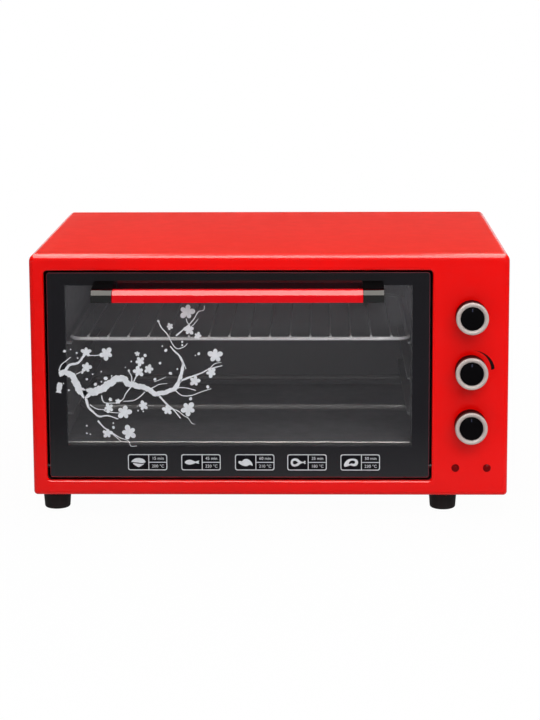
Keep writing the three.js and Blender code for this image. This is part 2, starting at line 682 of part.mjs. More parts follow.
function addHandle() {
  const face = [[handleFront, handleBottom], [handleFront, handleFaceTop],
    [handleFront + handleBevelDepth, handleTop]].map(([y, z]) => new THREE.Vector2(y, z));
  const barBack = handleFront + handleBarDepth;
  const barOutline = [...face, new THREE.Vector2(barBack, handleTop),
    new THREE.Vector2(barBack, handleBottom)];
  const inner = handleBracketWidth + seatGap;
  piece('handle_bar', extrude(barOutline, 'x', handleLeft + inner, handleRight - inner), redPaint);

  const root = doorRecess - seatGap;
  const rootOutline = [...face, new THREE.Vector2(root, handleTop + handleRootRise),
    new THREE.Vector2(root, handleBottom - handleRootDrop)];
  const screwTip = root - handleScrewReach;
  for (const { side, x } of handleScrewPlaces) {
    const block = extrude(rootOutline, 'x', x - handleBracketWidth / 2, x + handleBracketWidth / 2);
    const place = [x, handleScrewZ];
    const bore = bar('y', place, screwTip - seatGap, root + overrun, handleScrewRadius + seatGap);
    piece(`${side}_handle_bracket`, cut(block, bore), blackPlastic);
    const headSeat = glassBack + seatGap;
    const shank = bar('y', place, screwTip, headSeat + handleScrewHeadHeight, handleScrewRadius);
    const head = bar('y', place, headSeat, headSeat + handleScrewHeadHeight, handleScrewHeadRadius);
    piece(`${side}_handle_screw`, join(shank, head), zincSteel);
  }
}

const stayPlaces = [['left', cavityLeft - linerSheet - stayInset - stayThickness],
  ['right', cavityRight + linerSheet + stayInset]]
  .map(([side, x0]) => ({ side, x0, x1: x0 + stayThickness }));

function addHinges() {
  const panSides = { left: glassLeft + panInset, right: glassRight - panInset };
  const doorwaySides = { left: doorwayLeft, right: doorwayRight };
  for (const [side, out] of [['left', -1], ['right', 1]]) {
    const along = (edge, from, to) => [edge + out * from, edge + out * to].sort((a, b) => a - b);
    const headSeat = -linerSheet - seatGap;
    const hinge = [hingeDepth, hingeZ];
    const headStart = headSeat - pinHeadLength;
    const shank = bar('x', hinge, ...along(panSides[side], headStart, pinReach), pinRadius);
    const head = bar('x', hinge, ...along(panSides[side], headStart, headSeat), pinHeadRadius);
    piece(`${side}_hinge_pin`, join(shank, head), zincSteel);

    const standoff = outerSheet + bracketStandoff;
    const seat = outerSheet + seatGap;
    const height = [hingeZ - bracketHeight / 2, hingeZ + bracketHeight / 2];
    const plate = box(...along(doorwaySides[side], standoff, standoff + bracketSheet),
      seat, seat + bracketDepth, ...height);
    const flange = box(...along(doorwaySides[side], standoff, standoff + bracketFlange),
      seat, seat + bracketSheet, ...height);
    const hole = bar('x', hinge, ...along(doorwaySides[side], 0, bodyWidth), pinRadius + runningGap);
    piece(`${side}_hinge_bracket`, cut(join(plate, flange), hole), zincSteel);
  }

  for (const { side, x0, x1 } of stayPlaces) {
    const startAngle = Math.asin((panBack - hingeDepth) / (stayRadius + stayWidth));
    const arc = (radius, from, to) => Array.from({ length: bendSteps * 2 + 1 }, (_, i) => {
      const angle = from + (to - from) * i / (bendSteps * 2);
      return new THREE.Vector2(hingeDepth + radius * Math.sin(angle), hingeZ + radius * Math.cos(angle));
    });
    const outline = [...arc(stayRadius + stayWidth / 2, startAngle, stayTailAngle),
      ...arc(stayRadius - stayWidth / 2, stayTailAngle, startAngle)];
    const doorSide = box(x0 - overrun, x1 + overrun, 0, panBack + seatGap, bottomZ, topZ);
    piece(`${side}_stay_arm`, cut(extrude(outline, 'x', x0, x1), doorSide), zincSteel);
  }
}

const carrierLeft = doorwayRight + carrierSideGap;
const carrierRight = rightX - carrierSideGap;
const carrierBack = carrierDepth + carrierSheet;

function addControls() {
  const seat = outerSheet + seatGap;
  const carrierBottom = knobPlaces.at(-1).z - carrierMargin;
  const carrierTop = knobPlaces[0].z + carrierMargin;
  const channel = cut(box(carrierLeft, carrierRight, seat, carrierBack, carrierBottom, carrierTop),
    box(carrierLeft + carrierSheet, carrierRight - carrierSheet, seat - overrun, carrierDepth,
      carrierBottom - overrun, carrierTop + overrun));
  const holes = knobPlaces.map(({ x, z }) => bar('y', [x, z], 0, bodyDepth, bushingRadius + seatGap));
  piece('control_carrier', cut(channel, ...holes), zincSteel);

  for (const { name, x, z } of knobPlaces) {
    const ringBack = knobFront + knobRingDepth;
    const face = knobFront + knobFaceRecess;
    const bodyFront = ringBack + seatGap;
    const body = turnAboutY([[0, face], [knobFaceRadius, face], [knobFaceRadius, bodyFront],
      [knobBodyRadius - knobTaper, bodyFront], [knobBodyRadius, -knobFasciaGap], [0, -knobFasciaGap]], x, z);
    const bore = bar('y', [x, z], -knobFasciaGap - knobBoreDepth, 0, shaftRadius + seatGap);
    piece(`${name}_knob`, cut(body, bore), blackPlastic);

    const ringInner = knobFaceRadius + seatGap;
    const ringProfile = [[ringInner, ringBack], [ringInner, knobFront + knobRingInnerBevel],
      [ringInner + knobRingInnerBevel, knobFront], [knobRingRadius - knobRingBevel, knobFront],
      [knobRingRadius, knobFront + knobRingBevel], [knobRingRadius, ringBack], [ringInner, ringBack]];
    piece(`${name}_knob_ring`, turnAboutY(ringProfile, x, z), ringMetal);

    const shaft = bar('y', [x, z], seatGap - knobFasciaGap - knobBoreDepth, shaftTail, shaftRadius);
    piece(`${name}_shaft`, shaft, zincSteel);

    const switchFront = carrierBack + seatGap;
    const switchBack = switchFront + switchDepth;
    const half = switchWidth / 2;
    const block = box(x - half, x + half, switchFront, switchBack, z - half, z + half);
    const bushing = bar('y', [x, z], switchFront - carrierSheet - bushingReach, switchFront + overrun,
      bushingRadius);
    const shaftHole = bar('y', [x, z], 0, shaftTail + seatGap, shaftRadius + runningGap);
    const tabs = [-1, 1].map((sign) => box(x - tabWidth / 2, x + tabWidth / 2, switchBack - overrun,
      switchBack + tabLength, z + sign * tabSpread / 2, z + sign * tabSpread / 2 + tabThickness));
    piece(`${name}_switch`, cut(join(block, bushing, ...tabs), shaftHole), blackPlastic);
  }

  for (const { side, x, z } of lampPlaces) {
    const rimBack = -seatGap;
    const lens = turnAboutY([[0, rimBack - lampRimHeight - lampDomeHeight],
      [lampRimRadius / 2, rimBack - lampRimHeight - lampDomeHeight / 2],
      [lampRimRadius - seatGap, rimBack - lampRimHeight], [lampRimRadius, rimBack], [lampRadius, rimBack],
      [lampRadius, lampTail], [0, lampTail]], x, z, smallSides);
    piece(`${side}_indicator_lens`, lens, lampRed);
    const housing = bar('y', [x, z], seat, seat + lampHousingDepth, lampHousingRadius);
    const socket = bar('y', [x, z], 0, lampTail + seatGap, lampRadius + seatGap);
    piece(`${side}_indicator_housing`, cut(housing, socket), ceramicWhite);
  }
}

function addInternals() {
  const [z0, z1] = [baseTop + seatGap, topZ - outerSheet - seatGap];
  const [y0, y1] = [cavityFront + shieldFrontGap, coverBack - outerSheet - seatGap];
  const plate = box(shieldX, shieldX + shieldSheet, y0, y1, z0, z1);
  const foot = box(shieldX - shieldFlange, shieldX + shieldSheet, y0, y1, z0, z0 + shieldSheet);
  const pass = bar('x', [capillaryY, probeZ], shieldX - overrun, shieldX + overrun, shieldPassRadius);
  piece('heat_shield', cut(join(plate, foot), pass), zincSteel);

  const probeX = cavityRight - seatGap - probeRadius;
  const probeFront = cavityFront + probeStart;
  const thermostat = knobPlaces[1];
  const wireEnd = carrierBack + seatGap + switchDepth + seatGap;
  const tailCorners = [[probeX, probeFront + probeRadius, probeZ], [probeX, capillaryY, probeZ],
    [thermostat.x, capillaryY, probeZ], [thermostat.x, capillaryY, thermostat.z],
    [thermostat.x, wireEnd, thermostat.z]].map((point) => new THREE.Vector3(...point));
  const tail = rod(tailCorners, capillaryBend, capillaryRadius);
  const bulb = bar('y', [probeX, probeZ], probeFront, probeFront + probeLength, probeRadius, rodSides);
  piece('thermostat_probe', join(tail, bulb), heaterSteel);

  const blockX = rightX - terminalWidth;
  const blockBack = coverBack - terminalBackGap;
  const blockBottom = baseTop + seatGap;
  const block = box(blockX - terminalWidth / 2, blockX + terminalWidth / 2,
    blockBack - terminalDepth, blockBack, blockBottom, blockBottom + terminalHeight);
  const screws = [-1, 0, 1].map((i) => (
    bar('z', [blockX + i * terminalWidth / 3, blockBack - terminalDepth / 2],
      blockBottom + terminalHeight / 2, topZ, terminalScrewRadius)));
  piece('terminal_block', cut(block, ...screws), ceramicWhite);

  const start = blockBack - terminalDepth - seatGap;
  const loomZ = blockBottom + terminalHeight / 2;
  const timer = knobPlaces.at(-1);
  const route = [[blockX, start, loomZ], [blockX, start - terminalWidth, loomZ],
    [timer.x, start - 3 * terminalWidth, timer.z - switchWidth / 2],
    [timer.x, wireEnd + terminalWidth, timer.z], [timer.x, wireEnd, timer.z]]
    .map((point) => new THREE.Vector3(...point));
  piece('wiring_loom', rod(route, loomBend, loomRadius), cableGrey);
}

addFascia();
addCover();
addBack();
addBase();
addLiner();
addHeaters();
addRack();
addDoor();
addHandle();
addHinges();
addControls();
addInternals();

oven.position.y = -(handleFront + rearmost) / 2;

export default oven;
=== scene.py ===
from math import pi, radians, tau

import bmesh
import bpy
import numpy as np
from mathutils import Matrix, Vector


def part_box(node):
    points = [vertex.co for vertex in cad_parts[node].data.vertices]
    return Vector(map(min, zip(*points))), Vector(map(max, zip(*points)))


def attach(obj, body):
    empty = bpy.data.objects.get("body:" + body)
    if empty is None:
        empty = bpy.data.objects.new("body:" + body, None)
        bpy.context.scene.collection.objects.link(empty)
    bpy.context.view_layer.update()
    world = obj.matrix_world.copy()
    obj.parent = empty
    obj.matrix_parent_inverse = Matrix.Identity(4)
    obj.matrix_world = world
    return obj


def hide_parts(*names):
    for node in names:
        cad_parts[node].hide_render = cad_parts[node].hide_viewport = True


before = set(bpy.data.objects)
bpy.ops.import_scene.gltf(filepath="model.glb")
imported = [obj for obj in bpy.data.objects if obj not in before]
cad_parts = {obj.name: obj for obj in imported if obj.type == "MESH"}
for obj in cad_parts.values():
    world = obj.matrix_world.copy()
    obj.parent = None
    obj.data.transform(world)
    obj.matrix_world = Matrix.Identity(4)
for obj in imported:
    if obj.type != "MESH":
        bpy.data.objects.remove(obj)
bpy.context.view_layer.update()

scene = bpy.context.scene
scene.view_settings.view_transform = "Standard"
mm = 0.001


def span(node):
    low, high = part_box(node)
    return np.array(low), np.array(high)


def middleOf(node):
    # the middle of a node's box, in x and z
    low, high = span(node)
    return (low[[0, 2]] + high[[0, 2]]) / 2


# Places that several pieces share, all taken from the frame
fasciaLow, fasciaHigh = span("front_fascia")
coverLow, coverHigh = span("outer_cover")
recessLow, recessHigh = span("door_recess")
glassLow, glassHigh = span("door_outer_glass")
frontY = fasciaLow[1]
glassY = glassLow[1]
knobNames = ["selector", "thermostat", "timer"]
lampSides = ["left", "right"]
print("frame read, front plane at", round(float(frontY), 4))


# Meshes as arrays

def gridFaces(rows, columns, closedRows, closedColumns):
    # every point is joined to its neighbour along the row and to the same two in the next row
    r = np.arange(rows if closedRows else rows - 1)[:, None]
    c = np.arange(columns if closedColumns else columns - 1)[None, :]
    r, c = np.broadcast_arrays(r, c)
    after, beside = (r + 1) % rows, (c + 1) % columns
    here, there = r * columns, after * columns
    faces = np.stack([here + c, here + beside, there + beside, there + c], -1)
    # u runs once along a row and v once across the rows
    u = np.stack([c, c + 1, c + 1, c], -1) / (columns if closedColumns else columns - 1)
    v = np.stack([r, r, r + 1, r + 1], -1) / (rows if closedRows else rows - 1)
    return faces.reshape(-1, 4), np.stack([u, v], -1).reshape(-1, 2)


def gridMesh(name, points, closedRows=False, closedColumns=True, caps=False):
    # a sheet of quads over a rows x columns x 3 array, its first and last rows filled where caps are asked
    rows, columns = points.shape[:2]
    faces, uv = gridFaces(rows, columns, closedRows, closedColumns)
    faces = faces.tolist()
    if caps:
        first = np.arange(columns)
        faces += [first[::-1].tolist(), (first + (rows - 1) * columns).tolist()]
    mesh = bpy.data.meshes.new(name)
    mesh.from_pydata(points.reshape(-1, 3).tolist(), [], faces)
    layer = mesh.uv_layers.new(name="surface")
    allUv = np.zeros((len(mesh.loops), 2))
    allUv[:len(uv)] = uv
    layer.data.foreach_set("uv", allUv.ravel())
    return mesh


def joinMeshes(name, parts):
    # the parts' points end to end, each part's faces counted on from the points before it
    points, faces, count = [], [], 0
    for places, corners in parts:
        points.append(places)
        faces += [[index + count for index in face] for face in corners]
        count += len(places)
    mesh = bpy.data.meshes.new(name)
    mesh.from_pydata(np.concatenate(points).tolist(), [], faces)
    return mesh


def meshPart(mesh):
    # a mesh as an array of points and a list of faces
    points = np.zeros(len(mesh.vertices) * 3)
    mesh.vertices.foreach_get("co", points)
    return points.reshape(-1, 3), [list(face.vertices) for face in mesh.polygons]


def closeMesh(mesh):
    # doubles at poles and seams are merged, then all faces are turned outwards
    work = bmesh.new()
    work.from_mesh(mesh)
    bmesh.ops.remove_doubles(work, verts=work.verts, dist=mm / 1000)
    bmesh.ops.recalc_face_normals(work, faces=work.faces)
    work.to_mesh(mesh)
    work.free()
    return mesh


def newObject(name, data):
    piece = bpy.data.objects.new(name, data)
    scene.collection.objects.link(piece)
    return piece


def applyModifier(piece, kind, **settings):
    modifier = piece.modifiers.new(kind.lower(), kind)
    for name, value in settings.items():
        setattr(modifier, name, value)
    graph = bpy.context.evaluated_depsgraph_get()
    mesh = bpy.data.meshes.new_from_object(piece.evaluated_get(graph))
    piece.modifiers.clear()
    piece.data = mesh


def thicken(piece, thickness):
    # the wall grows inwards from the modelled face
    applyModifier(piece, "SOLIDIFY", thickness=thickness, offset=-1, use_even_offset=True)


def cutAway(piece, cutterMesh):
    cutter = newObject("cutter", closeMesh(cutterMesh))
    applyModifier(piece, "BOOLEAN", operation="DIFFERENCE", solver="EXACT", object=cutter)
    bpy.data.objects.remove(cutter)


def dress(piece, finish, body="root", replaced=(), sharp=32):
    # finish is a material and the record's slot it belongs to
    material, slot = finish
    piece.data.materials.clear()
    piece.data.materials.append(material)
    piece.data.shade_smooth()
    piece.data.set_sharp_from_angle(angle=radians(sharp))
    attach(piece, body)
    if replaced:
        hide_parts(*replaced)


# Shapes that several pieces are made from

def unit(rows):
    # every row drawn out or in to length one
    return rows / np.maximum(np.linalg.norm(rows, axis=1, keepdims=True), 1e-12)


def onFront(flat, plane):
    # points in x and z are stood up on a plane that faces the front
    return np.stack([flat[:, 0], np.full(len(flat), plane), flat[:, 1]], 1)


def alongX(flat, x):
    # points in y and z are set at one place along x
    return np.concatenate([np.full((len(flat), 1), x), flat], 1)


def roundedRectangle(low, high, radius, cornerSteps=10, sideSteps=6):
    # quarter turns about four corner centres, joined by sides cut in even steps, anticlockwise from the
    # lower right, with one radius for all corners or one for each
    low, high = np.array(low, float), np.array(high, float)
    turns = np.linspace(0, pi / 2, cornerSteps + 1)
    corners = [(high[0], low[1], -1, 1), (high[0], high[1], -1, -1),
               (low[0], high[1], 1, -1), (low[0], low[1], 1, 1)]
    arcs = []
    for i, (x, z, right, up) in enumerate(corners):
        reach = np.broadcast_to(radius, 4)[i]
        angles = turns + (i - 1) * pi / 2
        centre = np.array([x + right * reach, z + up * reach])
        arcs.append(centre + reach * np.stack([np.cos(angles), np.sin(angles)], 1))
    pieces = []
    for i, arc in enumerate(arcs):
        side = np.linspace(arc[-1], arcs[(i + 1) % 4][0], sideSteps + 1)[1:-1]
        pieces += [arc, side]
    return np.concatenate(pieces)


def quarterArc(radius, steps):
    # how far a rounded edge has gone in, and how far it still has to go, at even turns through 90 degrees
    turns = np.linspace(0, pi / 2, steps + 1)
    return [(radius * (1 - np.cos(a)), radius * (1 - np.sin(a))) for a in turns]


def ovalArc(centre, across, along, steps, start=0.0, end=pi / 2):
    # part of an oval in a turned section: its radius follows the sine, its place along the axis the cosine
    turns = np.linspace(start, end, steps + 1)
    return [(centre[0] + across * np.sin(a), centre[1] - along * np.cos(a)) for a in turns]


def roundedPolygon(corners, radii, steps):
    # each corner gives way to an arc that touches both its sides, its centre on the bisector
    corners = np.array(corners, float)
    radii = np.broadcast_to(radii, len(corners))
    outline = []
    for i, corner in enumerate(corners):
        back = corners[i - 1] - corner
        ahead = corners[(i + 1) % len(corners)] - corner
        back, ahead = back / np.linalg.norm(back), ahead / np.linalg.norm(ahead)
        half = np.arccos(np.clip(back @ ahead, -1, 1)) / 2
        centre = corner + (back + ahead) / np.linalg.norm(back + ahead) * radii[i] / np.sin(half)
        start = corner + back * radii[i] / np.tan(half) - centre
        end = corner + ahead * radii[i] / np.tan(half) - centre
        sweep = np.arctan2(start[0] * end[1] - start[1] * end[0], start @ end)
        turns = np.linspace(0, sweep, steps + 1)[:, None]
        outline.append(centre + start * np.cos(turns) + np.array([-start[1], start[0]]) * np.sin(turns))
    return np.concatenate(outline)


def insetOutline(outline, amount):
    # every point moves in along the mean of its two sides' normals, for an anticlockwise convex outline
    side = np.roll(outline, -1, 0) - outline
    normal = unit(np.stack([-side[:, 1], side[:, 0]], 1))
    return outline + unit(normal + np.roll(normal, 1, 0)) * amount


def extrudedAlongX(outline, left, right, edge, steps=4):
    # the outline in y and z carried along x, drawn in at both ends so that the end edges are round
    arc = quarterArc(edge, steps)
    rows = [(left + inset, rest) for inset, rest in arc]
    rows += [(right - inset, rest) for inset, rest in arc[::-1]]
    return np.array([alongX(insetOutline(outline, inset), x) for x, inset in rows])


def turned(profile, centre, axis, sides):
    # each point of the profile, a radius and a place along the axis, is turned once round it
    profile = np.array(profile, float)
    angles = np.arange(sides) * tau / sides
    across = profile[:, :1] * np.cos(angles)[None, :]
    up = profile[:, :1] * np.sin(angles)[None, :]
    along = np.broadcast_to(profile[:, 1:], across.shape)
    if axis == "y":
        return np.stack([centre[0] + across, along, centre[1] + up], -1)
    return np.stack([centre[0] + across, centre[1] + up, along], -1)


def turnedMesh(name, profile, centre, sides):
    # a profile turned round the y axis through a place in x and z
    return closeMesh(gridMesh(name, turned(profile, centre, "y", sides)))


def solidPiece(name, grid, finish, body="root", replaced=(), sharp=32, **closing):
    # a grid closed by its seams or its caps, as a finished piece
    dress(newObject(name, closeMesh(gridMesh(name, grid, **closing))), finish, body, replaced, sharp)


def turnedPiece(name, profile, centre, finish, body="root", replaced=(), axis="y", sides=64):
    # a profile that begins and ends on its axis, as a finished piece
    solidPiece(name, turned(profile, centre, axis, sides), finish, body, replaced)


def drill(piece, holes, near, far, sides):
    # each hole is a place in x and z and a radius, cut straight through from near to far
    drills = []
    for place, radius in holes:
        profile = [(0, near), (radius, near), (radius, far), (0, far)]
        drills.append(meshPart(turnedMesh("drill", profile, place, sides)))
    cutAway(piece, joinMeshes("drills", drills))


def bentPath(corners, bend, steps, closed=False):
    # straight runs joined by arcs of one radius, in a level plane
    corners = np.array(corners, float)
    rounded = roundedPolygon(corners, bend, steps)
    if closed:
        return rounded
    rounded = rounded.reshape(len(corners), steps + 1, 2)
    return np.concatenate([corners[:1], rounded[1:-1].reshape(-1, 2), corners[-1:]])


def levelTube(path, height, radius, sides, closed=False):
    # a circle carried along a level path: sideways across the path and upwards
    ahead = np.roll(path, -1, 0) - path
    behind = path - np.roll(path, 1, 0)
    if not closed:
        ahead[-1], behind[0] = behind[-1], ahead[0]
    tangent = unit(unit(ahead) + unit(behind))
    across = np.stack([tangent[:, 1], -tangent[:, 0]], 1)
    angles = np.arange(sides) * tau / sides
    flat = path[:, None, :] + across[:, None, :] * (radius * np.cos(angles))[None, :, None]
    rise = np.broadcast_to(height + radius * np.sin(angles), (len(path), sides))
    return np.concatenate([flat, rise[..., None]], -1)


# Nodes of a material, written as one call each

def fill(tree, socket, value):
    # another node's output is linked in, a plain value is set, and a colour of three numbers is opaque
    if isinstance(value, bpy.types.NodeSocket):
        tree.links.new(value, socket)
    else:
        socket.default_value = (*value, 1) if socket.type == "RGBA" and len(value) == 3 else value


def addNode(tree, kind, inputs=None, **settings):
    # settings are the node's own, and inputs go to its sockets by name or number
    node = tree.nodes.new("ShaderNode" + kind)
    for name, value in settings.items():
        setattr(node, name, value)
    for socket, value in (inputs or {}).items():
        fill(tree, node.inputs[socket], value)
    return node


def maths(tree, operation, *values, **settings):
    return addNode(tree, "Math", dict(enumerate(values)), operation=operation, **settings).outputs[0]


def vectors(tree, operation, *values):
    result = "Value" if operation == "LENGTH" else "Vector"
    return addNode(tree, "VectorMath", dict(enumerate(values)), operation=operation).outputs[result]


def mixColour(tree, factor, first, second):
    return addNode(tree, "Mix", {0: factor, 6: first, 7: second}, data_type="RGBA").outputs[2]


def brightened(tree, colour, value):
    return addNode(tree, "HueSaturation", {"Color": colour, "Value": value}).outputs[0]


def between(tree, value, low, high, newLow=0.0, newHigh=1.0, smooth=True):
    inputs = {"Value": value, "From Min": low, "From Max": high, "To Min": newLow, "To Max": newHigh}
    kind = "SMOOTHSTEP" if smooth else "LINEAR"
    return addNode(tree, "MapRange", inputs, interpolation_type=kind).outputs[0]


def newGroup(name, inputs, outputs):
    # an input's kind follows from its value: four numbers a colour, three a vector, one a plain number
    group = bpy.data.node_groups.new(name, "ShaderNodeTree")
    for label, value in inputs.items():
        kind = {4: "Color", 3: "Vector"}[len(value)] if isinstance(value, tuple) else "Float"
        socket = group.interface.new_socket(name=label, in_out="INPUT", socket_type="NodeSocket" + kind)
        socket.default_value = value
    for label in outputs:
        kind = "Color" if label == "Colour" else "Float"
        group.interface.new_socket(name=label, in_out="OUTPUT", socket_type="NodeSocket" + kind)
    return group, group.nodes.new("NodeGroupInput").outputs, group.nodes.new("NodeGroupOutput").inputs


def useGroup(tree, group, **values):
    node = tree.nodes.new("ShaderNodeGroup")
    node.node_tree = group
    for name, value in values.items():
        fill(tree, node.inputs[name.capitalize()], value)
    return node.outputs


def objectPlace(tree):
    return addNode(tree, "TexCoord").outputs["Object"]


def noise(tree, scale, detail=2.0, roughness=0.5, place=None):
    # at the place on the object, unless another is given
    place = objectPlace(tree) if place is None else place
    inputs = {"Vector": place, "Scale": scale, "Detail": detail, "Roughness": roughness}
    return addNode(tree, "TexNoise", inputs).outputs[0]


def cells(tree, scale):
    return addNode(tree, "TexVoronoi", {"Vector": objectPlace(tree), "Scale": scale}).outputs["Distance"]


def axesOf(tree, vector=None):
    # x, y and z of a vector, or of the place on the object
    return addNode(tree, "SeparateXYZ", {0: objectPlace(tree) if vector is None else vector}).outputs


def facingAxes(tree):
    # the way a face looks, in the object's own axes
    return axesOf(tree, addNode(tree, "TexCoord").outputs["Normal"])


# Effects that several finishes share

def makeToneGroup():
    # broad noise shifts a colour and its roughness a little, fine noise settles dust on faces that look up
    group, given, out = newGroup("tone and dust", {
        "Colour": (0.8, 0.8, 0.8, 1), "Shift": 0.06, "Dust": 0.04, "Roughness": 0.3, "Spread": 0.08,
        "Scale": 9.0}, ["Colour", "Roughness"])
    broad = noise(group, given["Scale"], detail=4.0, roughness=0.55)
    shade = maths(group, "MULTIPLY", between(group, broad, 0.3, 0.7, -1.0, 1.0), given["Shift"])
    bright = brightened(group, given["Colour"], maths(group, "ADD", shade, 1.0))
    upward = axesOf(group, addNode(group, "NewGeometry").outputs["Normal"])[2]
    specks = between(group, noise(group, 420.0, detail=3.0, roughness=0.7), 0.5, 0.75)
    film = maths(group, "MULTIPLY", between(group, upward, 0.5, 1.0), specks)
    dust = maths(group, "MULTIPLY", film, given["Dust"])
    fill(group, out["Colour"], mixColour(group, dust, bright, (0.55, 0.52, 0.48)))
    fine = between(group, noise(group, 60.0, detail=5.0, roughness=0.6), 0.3, 0.7, -1.0, 1.0)
    swing = maths(group, "MULTIPLY_ADD", fine, given["Spread"], given["Roughness"])
    fill(group, out["Roughness"], maths(group, "ADD", swing, dust))
    return group


def makeGrainGroup():
    # fine pits of a moulded or sprayed skin: noise and cell distance together, as a height
    group, given, out = newGroup("skin grain", {"Scale": 900.0, "Pits": 0.5}, ["Height"])
    waves = noise(group, given["Scale"])
    pits = cells(group, given["Scale"])
    fill(group, out["Height"], maths(group, "MULTIPLY_ADD", pits, given["Pits"], waves))
    return group


def makeBrushedGroup():
    # noise drawn out along one direction, as rolling or drawing leaves it
    group, given, out = newGroup("drawn grain", {
        "Stretch": (1.0, 1.0, 1.0), "Scale": 600.0, "Colour": (0.5, 0.5, 0.5, 1), "Dark": (0.3, 0.3, 0.3, 1),
        "Roughness": 0.35}, ["Colour", "Roughness", "Height"])
    place = vectors(group, "MULTIPLY", objectPlace(group), given["Stretch"])
    lines = noise(group, given["Scale"], detail=5.0, roughness=0.65, place=place)
    share = between(group, lines, 0.3, 0.75)
    fill(group, out["Colour"], mixColour(group, share, given["Dark"], given["Colour"]))
    swing = between(group, lines, 0.2, 0.8, -0.08, 0.08, smooth=False)
    fill(group, out["Roughness"], maths(group, "ADD", swing, given["Roughness"]))
    fill(group, out["Height"], lines)
    return group


def makePanelGroup():
    # one inside a box in x and z and nothing outside it, over a soft edge
    group, given, out = newGroup("panel mask", {
        "Centre": (0.0, 0.0, 0.0), "Half": (0.1, 1.0, 0.1), "Edge": 0.0004}, ["Mask"])
    away = vectors(group, "ABSOLUTE", vectors(group, "SUBTRACT", objectPlace(group), given["Centre"]))
    past = axesOf(group, vectors(group, "SUBTRACT", away, given["Half"]))
    share = maths(group, "DIVIDE", maths(group, "MAXIMUM", past[0], past[2]), given["Edge"])
    fill(group, out["Mask"], between(group, share, -0.5, 0.5, 1.0, 0.0))
    return group


toneGroup = makeToneGroup()
grainGroup = makeGrainGroup()
brushedGroup = makeBrushedGroup()
panelGroup = makePanelGroup()
print("shared effects made")


# Finishes

def newFinish(name, slot, **sockets):
    # a new material, whose shader's plain values are given by name
    material = bpy.data.materials.new(name)
    material.use_nodes = True
    tree = material.node_tree
    shader = tree.nodes["Principled BSDF"].inputs
    for label, value in sockets.items():
        fill(tree, shader[label.replace("_", " ")], value)
    return (material, slot), tree, shader


def linkTone(tree, shader, colour, roughness, shift=0.05, dust=0.0, spread=0.05, scale=9.0):
    # the shared tone and dust go between a colour and a roughness and the shader
    toned = useGroup(tree, toneGroup, colour=colour, roughness=roughness, shift=shift, dust=dust,
                     spread=spread, scale=scale)
    fill(tree, shader["Base Color"], toned["Colour"])
    fill(tree, shader["Roughness"], toned["Roughness"])
    return toned["Colour"]


def linkBump(tree, shader, height, depth, strength):
    bump = addNode(tree, "Bump", {"Height": height, "Distance": depth, "Strength": strength})
    fill(tree, shader["Normal"], bump.outputs[0])


def linkGrain(tree, shader, scale, pits, depth, strength):
    linkBump(tree, shader, useGroup(tree, grainGroup, scale=scale, pits=pits)["Height"], depth, strength)


def makeRedPaint(name, colour, gloss):
    # sprayed paint with a faint orange peel
    look = {"roughness": 0.16, "tone": {"shift": 0.025, "spread": 0.03, "scale": 5.0},
            "peel": {"scale": 520.0, "pits": 0.15, "depth": 0.000012, "strength": 0.6}}
    finish, tree, shader = newFinish(name, "red_paint", Specular_IOR_Level=gloss)
    linkTone(tree, shader, colour, look["roughness"], **look["tone"])
    linkGrain(tree, shader, **look["peel"])
    return finish


def makeSheetSteel(name, slot, look):
    # rolled sheet under a thin coating, its grain along x
    finish, tree, shader = newFinish(name, slot, Metallic=look["metallic"])
    grain = useGroup(tree, brushedGroup, stretch=look["stretch"], scale=look["scale"], colour=look["colour"],
                     dark=look["dark"], roughness=look["roughness"])
    toned = linkTone(tree, shader, grain["Colour"], grain["Roughness"], dust=0.05, spread=0.03)
    if "overspray" in look:
        # some of the casing's paint has drifted over the front edge
        near, far = (float(coverLow[1]) + reach for reach in look["sprayed"])
        bare = between(tree, axesOf(tree)[1], near, far)
        fill(tree, shader["Base Color"], mixColour(tree, bare, look["overspray"], toned))
        fill(tree, shader["Metallic"], between(tree, bare, 0.0, 1.0, 0.0, look["metallic"]))
    linkBump(tree, shader, grain["Height"], depth=0.00003, strength=0.5)
    return finish


def makeEnamel(name, look):
    # vitreous enamel with pale specks and a slow ripple
    finish, tree, shader = newFinish(name, "enamel", Specular_IOR_Level=look["specular"])
    specks = between(tree, noise(tree, 1400.0, detail=1.0, roughness=0.4), 0.66, 0.72)
    speckled = mixColour(tree, specks, look["colour"], look["pale"])
    linkTone(tree, shader, speckled, look["roughness"], shift=0.02, spread=0.04)
    linkGrain(tree, shader, scale=320.0, pits=0.2, depth=0.00001, strength=0.3)
    return finish


def makeHeaterSteel():
    # heat has browned the sheath in long patches
    look = {"colour": (0.185, 0.18, 0.18), "burnt": (0.165, 0.16, 0.158), "roughness": 0.13}
    finish, tree, shader = newFinish("heat browned sheath", "heater_steel", Specular_IOR_Level=1.0)
    patches = between(tree, noise(tree, 22.0, detail=4.0, roughness=0.6), 0.35, 0.65)
    browned = mixColour(tree, patches, look["burnt"], look["colour"])
    linkTone(tree, shader, browned, look["roughness"], shift=0.03, spread=0.02)
    return finish


def makeBrightWire():
    # the plating keeps its bright colour at the rack's front edge and is painted darker further in, as
    # painted shade where less light reaches
    look = {"colour": (0.95, 0.95, 0.97), "paintedShade": (0.34, 0.337, 0.345), "roughness": (0.25, 0.6),
            "fade": (4.5 * mm, 22 * mm)}
    finish, tree, shader = newFinish("plated wire", "bright_wire", Metallic=0.05)
    near, far = (float(span("wire_rack")[0][1]) + reach for reach in look["fade"])
    # painted shade: from the front edge inwards the colour falls to a darker grey
    fade = between(tree, axesOf(tree)[1], near, far)
    plated = mixColour(tree, fade, look["colour"], look["paintedShade"])
    rough = between(tree, fade, 0.0, 1.0, *look["roughness"])
    linkTone(tree, shader, plated, rough, shift=0.03, spread=0.04, scale=40.0)
    return finish


